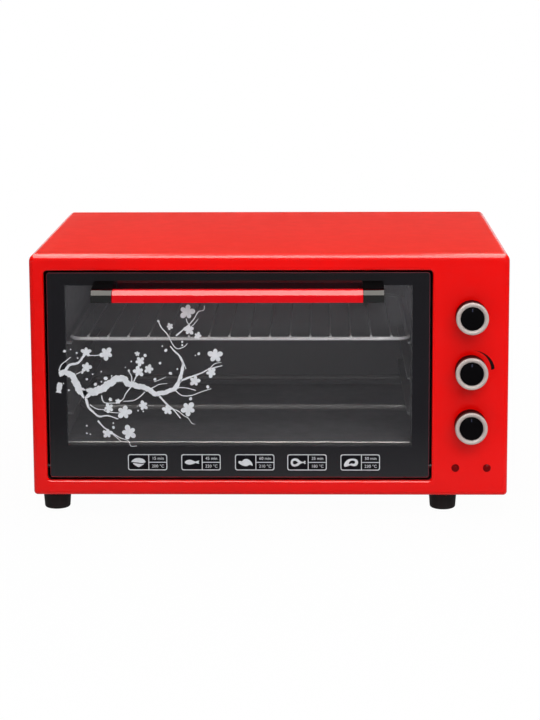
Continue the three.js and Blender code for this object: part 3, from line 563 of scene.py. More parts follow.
def makeDoorGlass():
    # tempered glass, printed black at the back round a tinted window whose pale veil thickens towards its
    # top as painted light, so that the upper window reads brighter
    look = {"print": (0.0065, 0.0060, 0.0085), "tint": (0.25, 0.245, 0.265), "tintAlpha": 0.06,
            "paintedTopLight": 0.068, "topLightFrom": 70 * mm, "topLightTo": 25 * mm, "edge": 0.0004,
            "arris": (0.17, 0.05, 0.065), "lowEdgeReflection": (0.50, 0.10, 0.13), "handleShade": np.array([0, 0, 12 * mm]),
            # the print leaves the window free by these widths from the glass's own edges
            "lowBorder": np.array([21.1, 0, 37.3]) * mm, "highBorder": np.array([20.1, 0, 14.9]) * mm}
    finish, tree, shader = newFinish("door glass", "black_glass", Roughness=0.06, IOR=1.5)

    def panelMask(low, high):
        centre, half = (low + high) / 2, (high - low) / 2
        return useGroup(tree, panelGroup, centre=tuple(centre), half=(half[0], 1.0, half[2]),
                        edge=look["edge"])["Mask"]

    windowLow, windowHigh = glassLow + look["lowBorder"], glassHigh - look["highBorder"]
    window = panelMask(windowLow, windowHigh)
    # the print is carried down in a dark strip behind the handle, a painted reflection and shade of the
    # handle on the glass
    left, right = span("left_handle_bracket")[0][0], span("right_handle_bracket")[1][0]
    windowTop = np.array([0, 0, windowHigh[2]])
    handleShade = panelMask(windowTop + [left, 0, 0] - look["handleShade"], windowTop + [right, 0, 0] + look["handleShade"])
    window = maths(tree, "SUBTRACT", window, handleShade, use_clamp=True)
    sheen = between(tree, noise(tree, 3.5, detail=3.0), 0.3, 0.7, 0.8, 1.2)
    tinted = mixColour(tree, window, brightened(tree, look["print"], sheen), look["tint"])
    # the ground edges, which face neither forwards nor back, are pale and carry a painted reflection of the
    # red round them, stronger on the lower edges that face the red lip
    facing = facingAxes(tree)
    low = between(tree, facing[2], -0.6, -0.3, 1.0, 0.0)
    edge = between(tree, maths(tree, "ABSOLUTE", facing[1]), 0.85, 0.95, 1.0, 0.0)
    ground = mixColour(tree, low, look["arris"], look["lowEdgeReflection"])
    fill(tree, shader["Base Color"], mixColour(tree, edge, tinted, ground))
    # painted light: more of the pale tint shows towards the window's top, brightening it
    top = float(windowHigh[2])
    paintedTopLight = between(tree, axesOf(tree)[2], top - look["topLightFrom"], top - look["topLightTo"],
                   look["tintAlpha"], look["tintAlpha"] + look["paintedTopLight"])
    fill(tree, shader["Alpha"], addNode(tree, "Mix", {0: window, 2: 1.0, 3: paintedTopLight}).outputs[0])
    smears = between(tree, noise(tree, 14.0, detail=5.0, roughness=0.6), 0.3, 0.8, 0.04, 0.10)
    fill(tree, shader["Roughness"], smears)
    return finish


def makeClearGlass():
    # the inner pane, hardly tinted
    look = {"colour": (0.05, 0.055, 0.055), "alpha": 0.03, "roughness": 0.05}
    finish, tree, shader = newFinish("inner glass", "clear_glass", Alpha=look["alpha"], IOR=1.5)
    linkTone(tree, shader, look["colour"], look["roughness"], shift=0.1, spread=0.02)
    return finish


def makePlastic(name, slot, look):
    # a moulded skin with fine pits, a little dusty unless the look says otherwise
    finish, tree, shader = newFinish(name, slot, Specular_IOR_Level=look.get("specular", 0.5))
    toned = linkTone(tree, shader, look["colour"], look["roughness"], shift=0.08,
                     dust=look.get("dust", 0.03), spread=look.get("spread", 0.05))
    if "face" in look:
        # a flat front is painted paler than the rounded sides, as painted light on the faces that look
        # forward
        front = between(tree, facingAxes(tree)[1], -0.99, -0.92, 1.0, 0.0)
        fill(tree, shader["Base Color"], mixColour(tree, front, toned, look["face"]))
    linkGrain(tree, shader, scale=look["grain"], pits=0.8, depth=look["depth"], strength=0.6)
    return finish


def makeRingMetal():
    # fine turning marks run round the ring, along its own u, and its outer wall behind the rim is painted
    # black, as painted shade above and round the ring
    look = {"colour": (0.55, 0.48, 0.45), "dark": (0.45, 0.39, 0.365), "ringShade": (0.004, 0.003, 0.004),
            "roughness": (0.36, 0.50), "rim": (2.1 * mm, 2.4 * mm), "stretch": (3.0, 90.0, 1.0)}
    finish, tree, shader = newFinish("satin ring", "ring_metal", Specular_IOR_Level=0.12)
    own = addNode(tree, "UVMap", uv_map="surface").outputs[0]
    along = vectors(tree, "MULTIPLY", own, look["stretch"])
    marks = noise(tree, 4.0, detail=4.0, roughness=0.6, place=along)
    shaded = mixColour(tree, between(tree, marks, 0.3, 0.7), look["dark"], look["colour"])
    # painted shade: the outer wall behind the rim goes black
    near, far = (float(span(knobNames[0] + "_knob_ring")[0][1]) + reach for reach in look["rim"])
    ringShade = between(tree, axesOf(tree)[1], near, far)
    fill(tree, shader["Base Color"], mixColour(tree, ringShade, shaded, look["ringShade"]))
    fill(tree, shader["Roughness"], between(tree, marks, 0.2, 0.8, *look["roughness"], smooth=False))
    linkBump(tree, shader, marks, depth=0.00002, strength=0.4)
    return finish


def makeLens():
    # a moulded lens whose facets are cells
    look = {"colour": (0.20, 0.002, 0.003), "deep": (0.08, 0.0005, 0.001), "facets": 1100.0}
    finish, tree, shader = newFinish("red lens", "lamp_red", Roughness=0.2, Specular_IOR_Level=0.05)
    facets = cells(tree, look["facets"])
    faceted = mixColour(tree, between(tree, facets, 0.1, 0.6), look["deep"], look["colour"])
    fill(tree, shader["Base Color"], faceted)
    linkBump(tree, shader, facets, depth=0.0001, strength=0.5)
    return finish


def makeSleeve():
    # woven sleeve: two crossed sets of fine ribs
    look = {"colour": (0.20, 0.20, 0.21), "gap": (0.07, 0.07, 0.075), "ribs": 900.0}
    finish, tree, shader = newFinish("woven sleeve", "cable_grey", Roughness=0.75)
    ribs = {"Vector": objectPlace(tree), "Scale": look["ribs"]}
    sets = [addNode(tree, "TexWave", ribs, bands_direction=way).outputs[1] for way in ("Y", "Z")]
    weave = maths(tree, "MULTIPLY", *sets)
    fill(tree, shader["Base Color"], mixColour(tree, weave, look["gap"], look["colour"]))
    linkBump(tree, shader, weave, depth=0.0002, strength=0.7)
    return finish


def makePrint(name, slot, colour, wear):
    # screen printed ink, a little uneven in tone
    look = {"specular": 0.06, "roughness": 0.45, "patches": 120.0,
            "grain": {"scale": 1500.0, "pits": 0.4, "depth": 0.00001, "strength": 0.4}}
    finish, tree, shader = newFinish(name, slot, Specular_IOR_Level=look["specular"])
    linkTone(tree, shader, colour, look["roughness"], shift=wear, scale=look["patches"])
    linkGrain(tree, shader, **look["grain"])
    return finish


blackSkin = {"colour": (0.0025, 0.0023, 0.0027), "grain": 1600.0, "dust": 0.0}
zincSkin = {"colour": (0.62, 0.62, 0.63), "dark": (0.45, 0.45, 0.47), "roughness": 0.36, "metallic": 0.85,
            "stretch": (0.3, 1.0, 1.0), "scale": 120.0}
rolled = {"stretch": (0.05, 1.0, 1.0), "scale": 500.0}
redPaint = makeRedPaint("red paint", (0.89, 0.0012, 0.0006), 0.27)
barPaint = makeRedPaint("red gloss paint", (0.76, 0.001, 0.006), 0.26)
darkSteel = makeSheetSteel("dark coated steel", "dark_steel", {
    **rolled, "colour": (0.075, 0.075, 0.08), "dark": (0.05, 0.05, 0.055), "roughness": 0.42,
    "metallic": 0.2})
# a near-black copy of the coated steel, painted shade for the hinge pins and brackets in the door's gap
gapShadeSteel = makeSheetSteel("steel painted as gap shade", "dark_steel", {
    **rolled, "colour": (0.010, 0.010, 0.011), "dark": (0.006, 0.006, 0.007), "roughness": 0.5,
    "metallic": 0.0})
zincSteel = makeSheetSteel("zinc plated steel", "zinc_steel", zincSkin)
plateSteel = makeSheetSteel("base plate steel", "zinc_steel", {
    **zincSkin, "overspray": (0.80, 0.004, 0.002), "sprayed": (2 * mm, 9 * mm)})
enamel = makeEnamel("grey enamel", {
    "colour": (0.182, 0.182, 0.192), "pale": (0.28, 0.28, 0.30), "roughness": 0.34, "specular": 0.4})
# a darker copy of the grey enamel, painted shade on the cavity floor
floorEnamel = makeEnamel("grey floor enamel", {
    "colour": (0.135, 0.135, 0.142), "pale": (0.22, 0.22, 0.23), "roughness": 0.34, "specular": 0.4})
# near-black enamel for the door recess, painted shade in the gap round the door
darkEnamel = makeEnamel("dark enamel", {
    "colour": (0.010, 0.009, 0.010), "pale": (0.02, 0.02, 0.02), "roughness": 0.4, "specular": 0.25})
heaterSteel = makeHeaterSteel()
brightWire = makeBrightWire()
doorGlass = makeDoorGlass()
clearGlass = makeClearGlass()
blackPlastic = makePlastic("black moulding", "black_plastic", {
    **blackSkin, "roughness": 0.22, "depth": 0.00001, "specular": 0.05})
# the handle brackets' flat fronts get a paler colour as painted light
glossPlastic = makePlastic("gloss moulding", "black_plastic", {
    **blackSkin, "roughness": 0.04, "depth": 0.0000005, "spread": 0.01, "specular": 0.15,
    "face": (0.020, 0.021, 0.021)})
footRubber = makePlastic("foot rubber", "foot_rubber", {
    "colour": (0.017, 0.0135, 0.014), "roughness": 0.62, "grain": 1100.0, "depth": 0.00006,
    "specular": 0.12})
whitePlastic = makePlastic("white ceramic", "white_plastic", {
    "colour": (0.72, 0.70, 0.64), "roughness": 0.5, "grain": 900.0, "depth": 0.00003})
ringMetal = makeRingMetal()
lensRed = makeLens()
sleeveGrey = makeSleeve()
printWhite = makePrint("white print", "black_glass", (0.69, 0.715, 0.75), 0.06)
printBlack = makePrint("black print", "black_glass", (0.004, 0.004, 0.006), 0.03)
printDark = makePrint("dark print", "red_paint", (0.006, 0.002, 0.002), 0.05)
pointerGrey = makePrint("pointer print", "black_plastic", (0.045, 0.05, 0.09), 0.05)
print("finishes made")


# Casing

def makeFascia():
    shape = {"corner": 8 * mm, "lowCorner": 4.5 * mm, "closing": 10 * mm, "fillet": 6.5 * mm,
             "sheet": 0.8 * mm, "roll": 2.6 * mm, "lip": 6 * mm, "doorwayCorner": 4.5 * mm,
             "support": 0.5 * mm, "shaftHole": 4.5 * mm, "lampHole": 4.25 * mm, "steps": 12}
    low, high = fasciaLow[[0, 2]], fasciaHigh[[0, 2]]
    doorLow, doorHigh = recessLow[[0, 2]] + shape["sheet"], recessHigh[[0, 2]] - shape["sheet"]
    depth = fasciaHigh[1] - frontY
    radii = np.array([shape["lowCorner"], shape["corner"], shape["corner"], shape["lowCorner"]])

    def outerRow(inset, back):
        # the corners close up evenly as the fillet draws the outline in
        closing = 1 - inset / shape["closing"]
        return onFront(roundedRectangle(low + inset, high - inset, radii * closing), frontY + back)

    def doorRow(spread, back):
        corner = shape["doorwayCorner"] + spread
        return onFront(roundedRectangle(doorLow - spread, doorHigh + spread, corner), frontY + back)

    # the skirt comes forward, rolls over the fillet, runs flat to the doorway and rolls into its lip
    rows = [outerRow(0, depth), outerRow(0, shape["fillet"] + shape["support"])]
    rows += [outerRow(inset, rest) for inset, rest in quarterArc(shape["fillet"], shape["steps"])]
    rows += [outerRow(shape["fillet"] + shape["support"], 0), doorRow(shape["roll"] + shape["support"], 0)]
    rows += [doorRow(rest, inset) for inset, rest in quarterArc(shape["roll"], shape["steps"])]
    rows += [doorRow(0, shape["roll"] + shape["support"]), doorRow(0, shape["lip"])]
    fascia = newObject("front_fascia_shell", gridMesh("front_fascia_shell", np.array(rows)))
    thicken(fascia, shape["sheet"])
    holes = [(middleOf(name + "_knob"), shape["shaftHole"]) for name in knobNames]
    holes += [(middleOf(side + "_indicator_lens"), shape["lampHole"]) for side in lampSides]
    drill(fascia, holes, frontY - depth, frontY + depth, 64)
    dress(fascia, redPaint, replaced=["front_fascia"])


def makeCover():
    shape = {"corner": 8 * mm, "leastCorner": 0.5 * mm, "sheet": 0.8 * mm, "frontRoll": 0.9 * mm,
             "rearRoll": 2 * mm, "flange": 16 * mm, "support": 0.6 * mm, "steps": 6, "legSteps": 8,
             "topSteps": 16, "cornerSteps": 12, "sideSteps": 6, "snipHeight": 4.5 * mm,
             "snipLength": 9 * mm}
    slots = {"size": np.array([46, 4]) * mm, "pitch": 11 * mm, "count": 7, "margin": 30 * mm, "round": 0.98}
    right, bottom, top = coverHigh[0], coverLow[2], coverHigh[2]
    front, rear = coverLow[1], coverHigh[1]

    def arch(inset, foot):
        # up the right side, round a corner, across the top and down the left side
        radius = max(shape["corner"] - inset, shape["leastCorner"])
        turns = np.linspace(0, pi / 2, shape["cornerSteps"] + 1)
        bend = radius * np.stack([np.cos(turns), np.sin(turns)], 1)
        spring, wall = top - inset - radius, right - inset - radius
        rightLeg = np.stack([np.full(shape["legSteps"], right - inset),
                             np.linspace(foot, spring, shape["legSteps"], endpoint=False)], 1)
        across = np.linspace((wall, top - inset), (0, top - inset), shape["topSteps"])[1:]
        half = np.concatenate([rightLeg, np.array([wall, spring]) + bend, across])
        return np.concatenate([half, (half * [-1, 1])[-2::-1]])

    # from the edge of the rear flange, over the rear bend, forward to the front edge's small roll
    rows = [(shape["flange"], rear), (shape["corner"], rear), (shape["rearRoll"] + shape["support"], rear)]
    rows += [(rest, rear - inset) for inset, rest in quarterArc(shape["rearRoll"], shape["steps"])]
    rows += [(0, y) for y in np.linspace(rear - shape["rearRoll"] - shape["support"],
                                         front + shape["snipLength"], shape["sideSteps"])]
    rows.append((0, front + shape["frontRoll"] + shape["support"]))
    rows += [(inset, front + rest) for inset, rest in quarterArc(shape["frontRoll"], shape["steps"])]
    grid = []
    for inset, y in rows:
        # the legs are snipped off behind the fascia's rounded lower corners
        snip = shape["snipHeight"] * max(1 - (y - front) / shape["snipLength"], 0)
        grid.append(onFront(arch(inset, bottom + snip), y))
    sheet = gridMesh("outer_cover_shell", np.array(grid), closedColumns=False)
    cover = newObject("outer_cover_shell", sheet)
    thicken(cover, shape["sheet"])
    length, height = slots["size"]
    cutters = []
    for i in range(slots["count"]):
        z = (bottom + top) / 2 + (i - (slots["count"] - 1) / 2) * slots["pitch"]
        centre = np.array([rear - slots["margin"] - length / 2, z])
        loop = roundedRectangle(centre - slots["size"] / 2, centre + slots["size"] / 2,
                                height / 2 * slots["round"], 6, 1)
        rows = [alongX(loop, x) for x in (right - shape["corner"], right + shape["corner"])]
        cutters.append(meshPart(closeMesh(gridMesh("slot", np.array(rows), caps=True))))
    cutAway(cover, joinMeshes("slots", cutters))
    dress(cover, redPaint, replaced=["outer_cover"])


def makeFeet():
    shape = {"top": 17 * mm, "bottom": 15 * mm, "edge": 2.5 * mm, "dish": 1.2 * mm, "dishRadius": 9 * mm,
             "bead": 0.8 * mm, "stud": 4 * mm, "gap": 0.3 * mm, "sides": 72, "steps": 8}
    top, bead, seat = shape["top"], shape["bead"], coverLow[2] - shape["gap"]
    bottom, edge, dish, dishRadius = shape["bottom"], shape["edge"], shape["dish"], shape["dishRadius"]
    for corner in ("front_left", "front_right", "rear_left", "rear_right"):
        low, high = span(corner + "_foot")
        # a shallow dish below, a round tread edge, a tapered side and a bead under the body
        profile = [(0, dish), (dishRadius - dish, dish), (dishRadius, 0)]
        profile += ovalArc((bottom - edge, edge), edge, edge, shape["steps"])
        profile += [(top - bead, seat - 3.2 * bead), (top, seat - 2.2 * bead), (top, seat - 0.5 * bead),
                    (top - 0.5 * bead, seat), (shape["stud"], seat), (shape["stud"], high[2]), (0, high[2])]
        turnedPiece(corner + "_foot_moulding", profile, (low[:2] + high[:2]) / 2, footRubber,
                    replaced=[corner + "_foot"], axis="z", sides=shape["sides"])


def makeBackScrews():
    shape = {"slot": np.array([4.4, 0.9]) * mm, "slotDepth": 1.1 * mm, "shank": 1.8 * mm, "head": 2.2 * mm,
             "rim": 0.6 * mm, "dome": 1.6 * mm, "clear": 2 * mm, "sides": 40, "steps": 8}
    for corner in ("upper_left", "upper_right", "lower_left", "lower_right"):
        name, centre = corner + "_back_screw", middleOf(corner + "_back_screw")
        low, high = span(name)
        radius, seat = (high[0] - low[0]) / 2, high[1] - shape["head"]
        # a shank, a flat underside and a domed head
        profile = [(0, low[1]), (shape["shank"], low[1]), (shape["shank"], seat), (radius, seat)]
        profile += ovalArc((0, seat + shape["rim"]), radius, shape["dome"], shape["steps"], pi / 2, pi)
        screw = newObject(name + "_head", turnedMesh(name + "_head", profile, centre, sides=shape["sides"]))
        # a cross recess, one bar across the other
        half = shape["slot"] / 2
        for reach in (half, half[::-1]):
            loop = roundedRectangle(centre - reach, centre + reach, half[1] * 0.5, 2, 1)
            rows = [onFront(loop, y) for y in (high[1] - shape["slotDepth"], high[1] + shape["clear"])]
            cutAway(screw, gridMesh("recess", np.array(rows), caps=True))
        dress(screw, zincSteel, replaced=[name])


def makeCordGland():
    shape = {"flange": 11 * mm, "body": 7 * mm, "bore": 3.7 * mm, "nose": 5 * mm, "flangeDepth": 3.2 * mm}
    flange, body, bore = shape["flange"], shape["body"], shape["bore"]
    low, high = span("cord_gland")
    back, shoulder = high[1], high[1] - shape["nose"]
    seat = shoulder - shape["flangeDepth"]
    # the barrel through the panel, a flange with broken edges, and a nose round the cord's hole
    profile = [(bore, low[1]), (body, low[1]), (body, seat), (flange - 0.4 * mm, seat),
               (flange, seat + 0.5 * mm), (flange - 0.3 * mm, seat + 2.4 * mm),
               (flange - 1.4 * mm, shoulder), (body + 0.4 * mm, shoulder), (body, back - 4.4 * mm),
               (body - 0.5 * mm, back - 0.6 * mm), (body - 1.1 * mm, back), (bore + 0.8 * mm, back),
               (bore, back - 0.8 * mm)]
    solidPiece("cord_gland_moulding", turned(profile, middleOf("cord_gland"), "y", 64), blackPlastic,
               replaced=["cord_gland"], closedRows=True)


makeFascia()
makeCover()
makeFeet()
makeBackScrews()
makeCordGland()
print("casing made")


# Door

def makeDoorGlassPanel():
    shape = {"corner": 3.2 * mm, "arris": 0.6 * mm, "bore": 2.9 * mm, "clear": 1 * mm, "sides": 32}
    low, high = glassLow[[0, 2]], glassHigh[[0, 2]]
    back, arris = glassHigh[1], shape["arris"]
    # ground edges: the outline stands in by the arris at both faces
    rows = [(arris, back), (0, back - arris), (0, glassY + arris), (arris, glassY)]
    grid = [onFront(roundedRectangle(low + inset, high - inset, shape["corner"] - inset, 8, 4), y)
            for inset, y in rows]
    panel = newObject("door_glass_panel", closeMesh(gridMesh("door_glass_panel", np.array(grid), caps=True)))
    holes = [(middleOf(side + "_handle_screw"), shape["bore"]) for side in lampSides]
    drill(panel, holes, glassY - shape["clear"], back + shape["clear"], shape["sides"])
    dress(panel, doorGlass, "door", ["door_outer_glass"], sharp=20)


def makeHandle():
    shape = {"face": 8.6 * mm, "bevelDepth": 5 * mm, "edge": 0.7 * mm, "seatEdge": 0.3 * mm,
             "endEdge": 0.35 * mm, "steps": 6}
    low, high = span("handle_bar")
    faceTop = low[2] + shape["face"]

    def railPiece(name, node, radii, finish):
        # anticlockwise in y and z: along the underside, up the back, forward over the top and down the face
        nodeLow, nodeHigh = span(node)
        corners = [(low[1], low[2]), (nodeHigh[1], nodeLow[2]), (nodeHigh[1], nodeHigh[2]),
                   (low[1] + shape["bevelDepth"], high[2]), (low[1], faceTop)]
        section = roundedPolygon(corners, radii, shape["steps"])
        grid = extrudedAlongX(section, nodeLow[0], nodeHigh[0], shape["endEdge"])
        solidPiece(name, grid, finish, "door", [node], sharp=25, caps=True)

    edge, seatEdge = shape["edge"], shape["seatEdge"]
    railPiece("handle_bar_rail", "handle_bar", [edge] * 5, barPaint)
    for side in lampSides:
        node = side + "_handle_bracket"
        railPiece(node + "_moulding", node, [edge, seatEdge, seatEdge, edge * 2, edge], glossPlastic)


makeDoorGlassPanel()
makeHandle()
print("door made")


# Controls

def makeKnobs():
    shape = {"face": 13.1 * mm, "dome": 0.45 * mm, "faceDepth": 1 * mm, "body": 18.2 * mm, "taper": 0.9 * mm,
             "gap": 0.3 * mm, "bore": 3.3 * mm, "boreDepth": 17 * mm, "sides": 96}
    rim = {"radius": 18.5 * mm, "round": 2 * mm, "cone": 1.9 * mm, "broken": 0.5 * mm, "steps": 11}
    pointer = {"size": np.array([1.1, 3.6]) * mm, "top": 11.8 * mm, "rise": 0.25 * mm, "sunk": 0.5 * mm,
               "corner": 0.3 * mm, "edge": 0.12 * mm}
    body, bore, ring, curve = shape["body"], shape["bore"], rim["radius"], rim["round"]
    for name in knobNames:
        low, high = span(name + "_knob")
        ringLow, ringHigh = span(name + "_knob_ring")
        centre = middleOf(name + "_knob")
        face, back = low[1], high[1]
        front, ringBack = ringLow[1], ringHigh[1]
        step = ringBack + shape["gap"]
        # slightly domed face, a shoulder behind the ring, a tapered body and the bore for the shaft
        profile = [(shape["face"] * t, face + shape["dome"] * t ** 2) for t in np.linspace(0, 0.95, 12)]
        profile += [(shape["face"], face + shape["faceDepth"]), (shape["face"], step),
                    (body - shape["taper"] - 0.5 * mm, step), (body - shape["taper"], step + 0.5 * mm),
                    (body - 0.15 * mm, back - 2 * mm), (body, back - 1.4 * mm), (body, back - 0.4 * mm),
                    (body - 0.4 * mm, back), (bore, back), (bore, back - shape["boreDepth"]),
                    (0, back - shape["boreDepth"])]
        turnedPiece(name + "_knob_moulding", profile, centre, blackPlastic, name, [name + "_knob"],
                    sides=shape["sides"])
        # the ring's section: an inner cone that falls to the face, a rounded rim, a plain outer wall
        inner = shape["face"] + shape["gap"]
        section = [(inner, ringBack), (inner, front + 2.6 * mm), (inner + 0.3 * mm, front + 2.2 * mm),
                   (inner + rim["cone"], front + 0.45 * mm)]
        section += ovalArc((ring - curve, front + curve), curve, curve, rim["steps"], start=-0.5)
        section += [(ring, ringBack - rim["broken"]), (ring - rim["broken"], ringBack)]
        solidPiece(name + "_trim_ring", turned(section, centre, "y", shape["sides"]), ringMetal, name,
                   [name + "_knob_ring"], closedRows=True)
        # a low bar near the face's rim shows where the knob points
        half = pointer["size"] / 2
        middle = centre + [0, pointer["top"] - half[1]]
        rows = []
        for inset, y in ((0, face + pointer["sunk"]), (0, face - 0.6 * pointer["rise"]),
                         (pointer["edge"], face - pointer["rise"])):
            loop = roundedRectangle(middle - half + inset, middle + half - inset, pointer["corner"], 4, 1)
            rows.append(onFront(loop, y))
        solidPiece(name + "_pointer", np.array(rows), pointerGrey, name, caps=True)


def makeLenses():
    # a shallow dome, a quarter oval in section, on a rim with a cut corner, and a stem through the fascia
    shape = {"rim": 4.4 * mm, "stem": 3.5 * mm, "rimHeight": 1.1 * mm, "cut": 0.5 * mm, "dome": 0.95 * mm,
             "domeRadius": 3.2 * mm, "gap": 0.3 * mm, "sides": 48, "steps": 9}
    seat = frontY - shape["gap"]
    brow = seat - shape["rimHeight"]
    for side in lampSides:
        node = side + "_indicator_lens"
        back = span(node)[1][1]
        profile = ovalArc((0, brow), shape["domeRadius"], shape["dome"], shape["steps"])
        profile += [(shape["rim"] - shape["cut"], brow), (shape["rim"], brow + shape["cut"]),
                    (shape["rim"], seat), (shape["stem"], seat), (shape["stem"], back), (0, back)]
        turnedPiece(side + "_lens", profile, middleOf(node), lensRed, replaced=[node], sides=shape["sides"])


makeKnobs()
makeLenses()
print("controls made")


# Inside the oven

def makeRack():
    # a rod bent into a closed frame, and straight wires laid over it from front to back
    shape = {"seat": 2.4 * mm, "rod": 2.1 * mm, "wire": 0.9 * mm, "corner": 14 * mm, "wires": 16,
             "margin": 20.6 * mm, "sink": 0.4 * mm, "nose": 1.5 * mm, "blob": 1.6 * mm,
             "blobLength": 2.6 * mm, "rodSides": 24, "wireSides": 16, "cornerSteps": 14, "blobSteps": 5}
    low, high = span("wire_rack")
    z = low[2] + shape["seat"]
    x0, x1 = low[0] + shape["rod"], high[0] - shape["rod"]
    y0, y1 = low[1] + shape["nose"], high[1] - shape["nose"]
    corners = [(x0, y0), (x1, y0), (x1, y1), (x0, y1)]
    path = bentPath(corners, shape["corner"], shape["cornerSteps"], closed=True)
    rod = levelTube(path, z, shape["rod"], shape["rodSides"], closed=True)
    parts = [meshPart(closeMesh(gridMesh("rod", rod, closedRows=True)))]
    wireZ = z + shape["rod"] + shape["wire"] - shape["sink"]
    # each wire ends in a flattened blob where it is welded over the rod
    ends = ovalArc((0, shape["blob"]), shape["blob"], shape["blob"], shape["blobSteps"])
    ends.append((shape["wire"], shape["blobLength"]))
    profile = [(r, y0 - shape["nose"] + d) for r, d in ends]
    profile += [(r, y1 + shape["nose"] - d) for r, d in ends[::-1]]
    for x in np.linspace(x0 + shape["margin"], x1 - shape["margin"], shape["wires"]):
        parts.append(meshPart(turnedMesh("wire", profile, (x, wireZ), shape["wireSides"])))
    rack = newObject("wire_rack_grid", joinMeshes("wire_rack_grid", parts))
    dress(rack, brightWire, "rack", ["wire_rack"])


def makeHeaters():
    # a tube bent into a U, with both ends on the right
    shape = {"radius": 3.25 * mm, "bend": 20 * mm, "sides": 32, "steps": 16}
    for level in ("lower", "upper"):
        low, high = span(level + "_heater")
        x0, x1 = low[0] + shape["radius"], high[0]
        y0, y1 = low[1] + shape["radius"], high[1] - shape["radius"]
        path = bentPath([(x1, y0), (x0, y0), (x0, y1), (x1, y1)], shape["bend"], shape["steps"])
        tube = levelTube(path, (low[2] + high[2]) / 2, shape["radius"], shape["sides"])
        solidPiece(level + "_heater_tube", tube, heaterSteel, replaced=[level + "_heater"], caps=True)


def makeFloorBead():
    # the cavity floor's front edge is rolled over into a thin bright bead
    shape = {"radius": 0.75 * mm, "sides": 16, "stretches": 8}
    low, high = span("cavity_floor")
    points = shape["stretches"] + 1
    path = np.stack([np.linspace(low[0], high[0], points), np.full(points, low[1] + shape["radius"])], 1)
    tube = levelTube(path, high[2] - shape["radius"] / 2, shape["radius"], shape["sides"])
    solidPiece("cavity_floor_bead", tube, zincSteel, caps=True)


makeRack()
makeHeaters()
makeFloorBead()
print("inside made")


# Prints, as thin layers of ink that lie on the glass or the paint

def cubicStretches(before, start, end, after, steps):
    # one cubic per row from start to end, that leaves and arrives along the chords of the points either side
    t = np.linspace(0, 1, steps, endpoint=False)[None, :, None]
    before, start, end, after = (array[:, None, :] for array in (before, start, end, after))
    curve = 0.5 * (2 * start + (end - before) * t + (2 * before - 5 * start + 4 * end - after) * t ** 2
                   + (3 * start - before - 3 * end + after) * t ** 3)
    return curve.reshape(-1, 2)


def smoothLine(points, steps=14):
    # the cubics through every point, led in and out by the line carried straight on past its ends
    points = np.array(points, float)
    padded = np.concatenate([2 * points[:1] - points[1:2], points, 2 * points[-1:] - points[-2:-1]])
    curve = cubicStretches(padded[:-3], padded[1:-2], padded[2:-1], padded[3:], steps)
    return np.concatenate([curve, points[-1:]])


def smoothLoop(points, steps=6):
    # the same cubics once round, from the last point back to the first
    points = np.array(points, float)
    before, end, after = (np.roll(points, turn, 0) for turn in (1, -1, -2))
    return cubicStretches(before, points, end, after, steps)


def band(flat):
    # quads between two lines of as many points, given side by side
    faces, _ = gridFaces(len(flat), 2, False, False)
    return flat.reshape(-1, 2), faces.tolist()


def ribbon(line, leftWidths, rightWidths):
    # two edges, left and right of the line by their own widths
    along = unit(np.gradient(line, axis=0))
    across = np.stack([-along[:, 1], along[:, 0]], 1)
    return band(np.stack([line + across * leftWidths[:, None], line - across * rightWidths[:, None]], 1))


def straightRibbon(start, end, width):
    # the same half width along both edges
    widths = np.full(2, width)
    return ribbon(np.array([start, end]), widths, widths)


def ringBand(outer, inner):
    # a band between two loops of as many points
    faces, _ = gridFaces(2, len(outer), False, True)
    return np.concatenate([outer, inner]), faces.tolist()


def filled(outline):
    # one face inside an outline
    return outline, [list(range(len(outline)))]


def inkPiece(name, layers, plane, ink, body, lift=0.03 * mm, thickness=0.05 * mm):
    # each layer lies a little in front of the one before, so that no two faces share a plane
    parts = [(onFront(flat, plane - lift * (level + 1)), faces) for level, layer in enumerate(layers)
             for flat, faces in layer]
    mesh = joinMeshes(name, parts)
    work = bmesh.new()
    work.from_mesh(mesh)
    work.normal_update()
    bmesh.ops.reverse_faces(work, faces=[face for face in work.faces if face.normal.y > 0])
    work.to_mesh(mesh)
    work.free()
    piece = newObject(name, mesh)
    applyModifier(piece, "SOLIDIFY", thickness=thickness, offset=1)
    dress(piece, ink, body)


def blossom(centre, radius, turn):
    # the rim follows the far side of an oval petal along each ray, and a small core between the petals:
    # far = (middle cos + length sqrt(...)) from the oval's equation, with length and width as its half axes
    shape = {"petals": 5, "middle": 0.60, "length": 0.40, "width": 0.335, "core": 0.30, "uneven": 0.10}
    step, middle, length = tau / shape["petals"], shape["middle"], shape["length"]
    angles = np.linspace(0, tau, shape["petals"] * 24, endpoint=False)
    off = (angles + step / 2) % step - step / 2
    a = (np.cos(off) / length) ** 2 + (np.sin(off) / shape["width"]) ** 2
    b = middle * np.cos(off) / length ** 2
    inside = b ** 2 - a * ((middle / length) ** 2 - 1)
    rim = np.where(inside > 0, (b + np.sqrt(np.maximum(inside, 0))) / a, shape["core"])
    # each petal has its own length
    petal = np.floor((angles + step / 2) / step) % shape["petals"]
    rim *= 1 + shape["uneven"] * np.sin(petal * 2.4 + turn * 9)
    ray = np.stack([np.cos(angles + turn), np.sin(angles + turn)], 1)
    return filled(np.array(centre) + radius * rim[:, None] * ray)


def bud(centre, radius, turn=0.0, squeeze=0.8):
    # an oval of 18 points, squeezed across and turned
    angles = np.linspace(0, tau, 18, endpoint=False)
    oval = np.stack([radius * np.cos(angles), radius * squeeze * np.sin(angles)], 1)
    spin = np.array([[np.cos(turn), np.sin(turn)], [-np.sin(turn), np.cos(turn)]])
    return filled(np.array(centre) + oval @ spin)


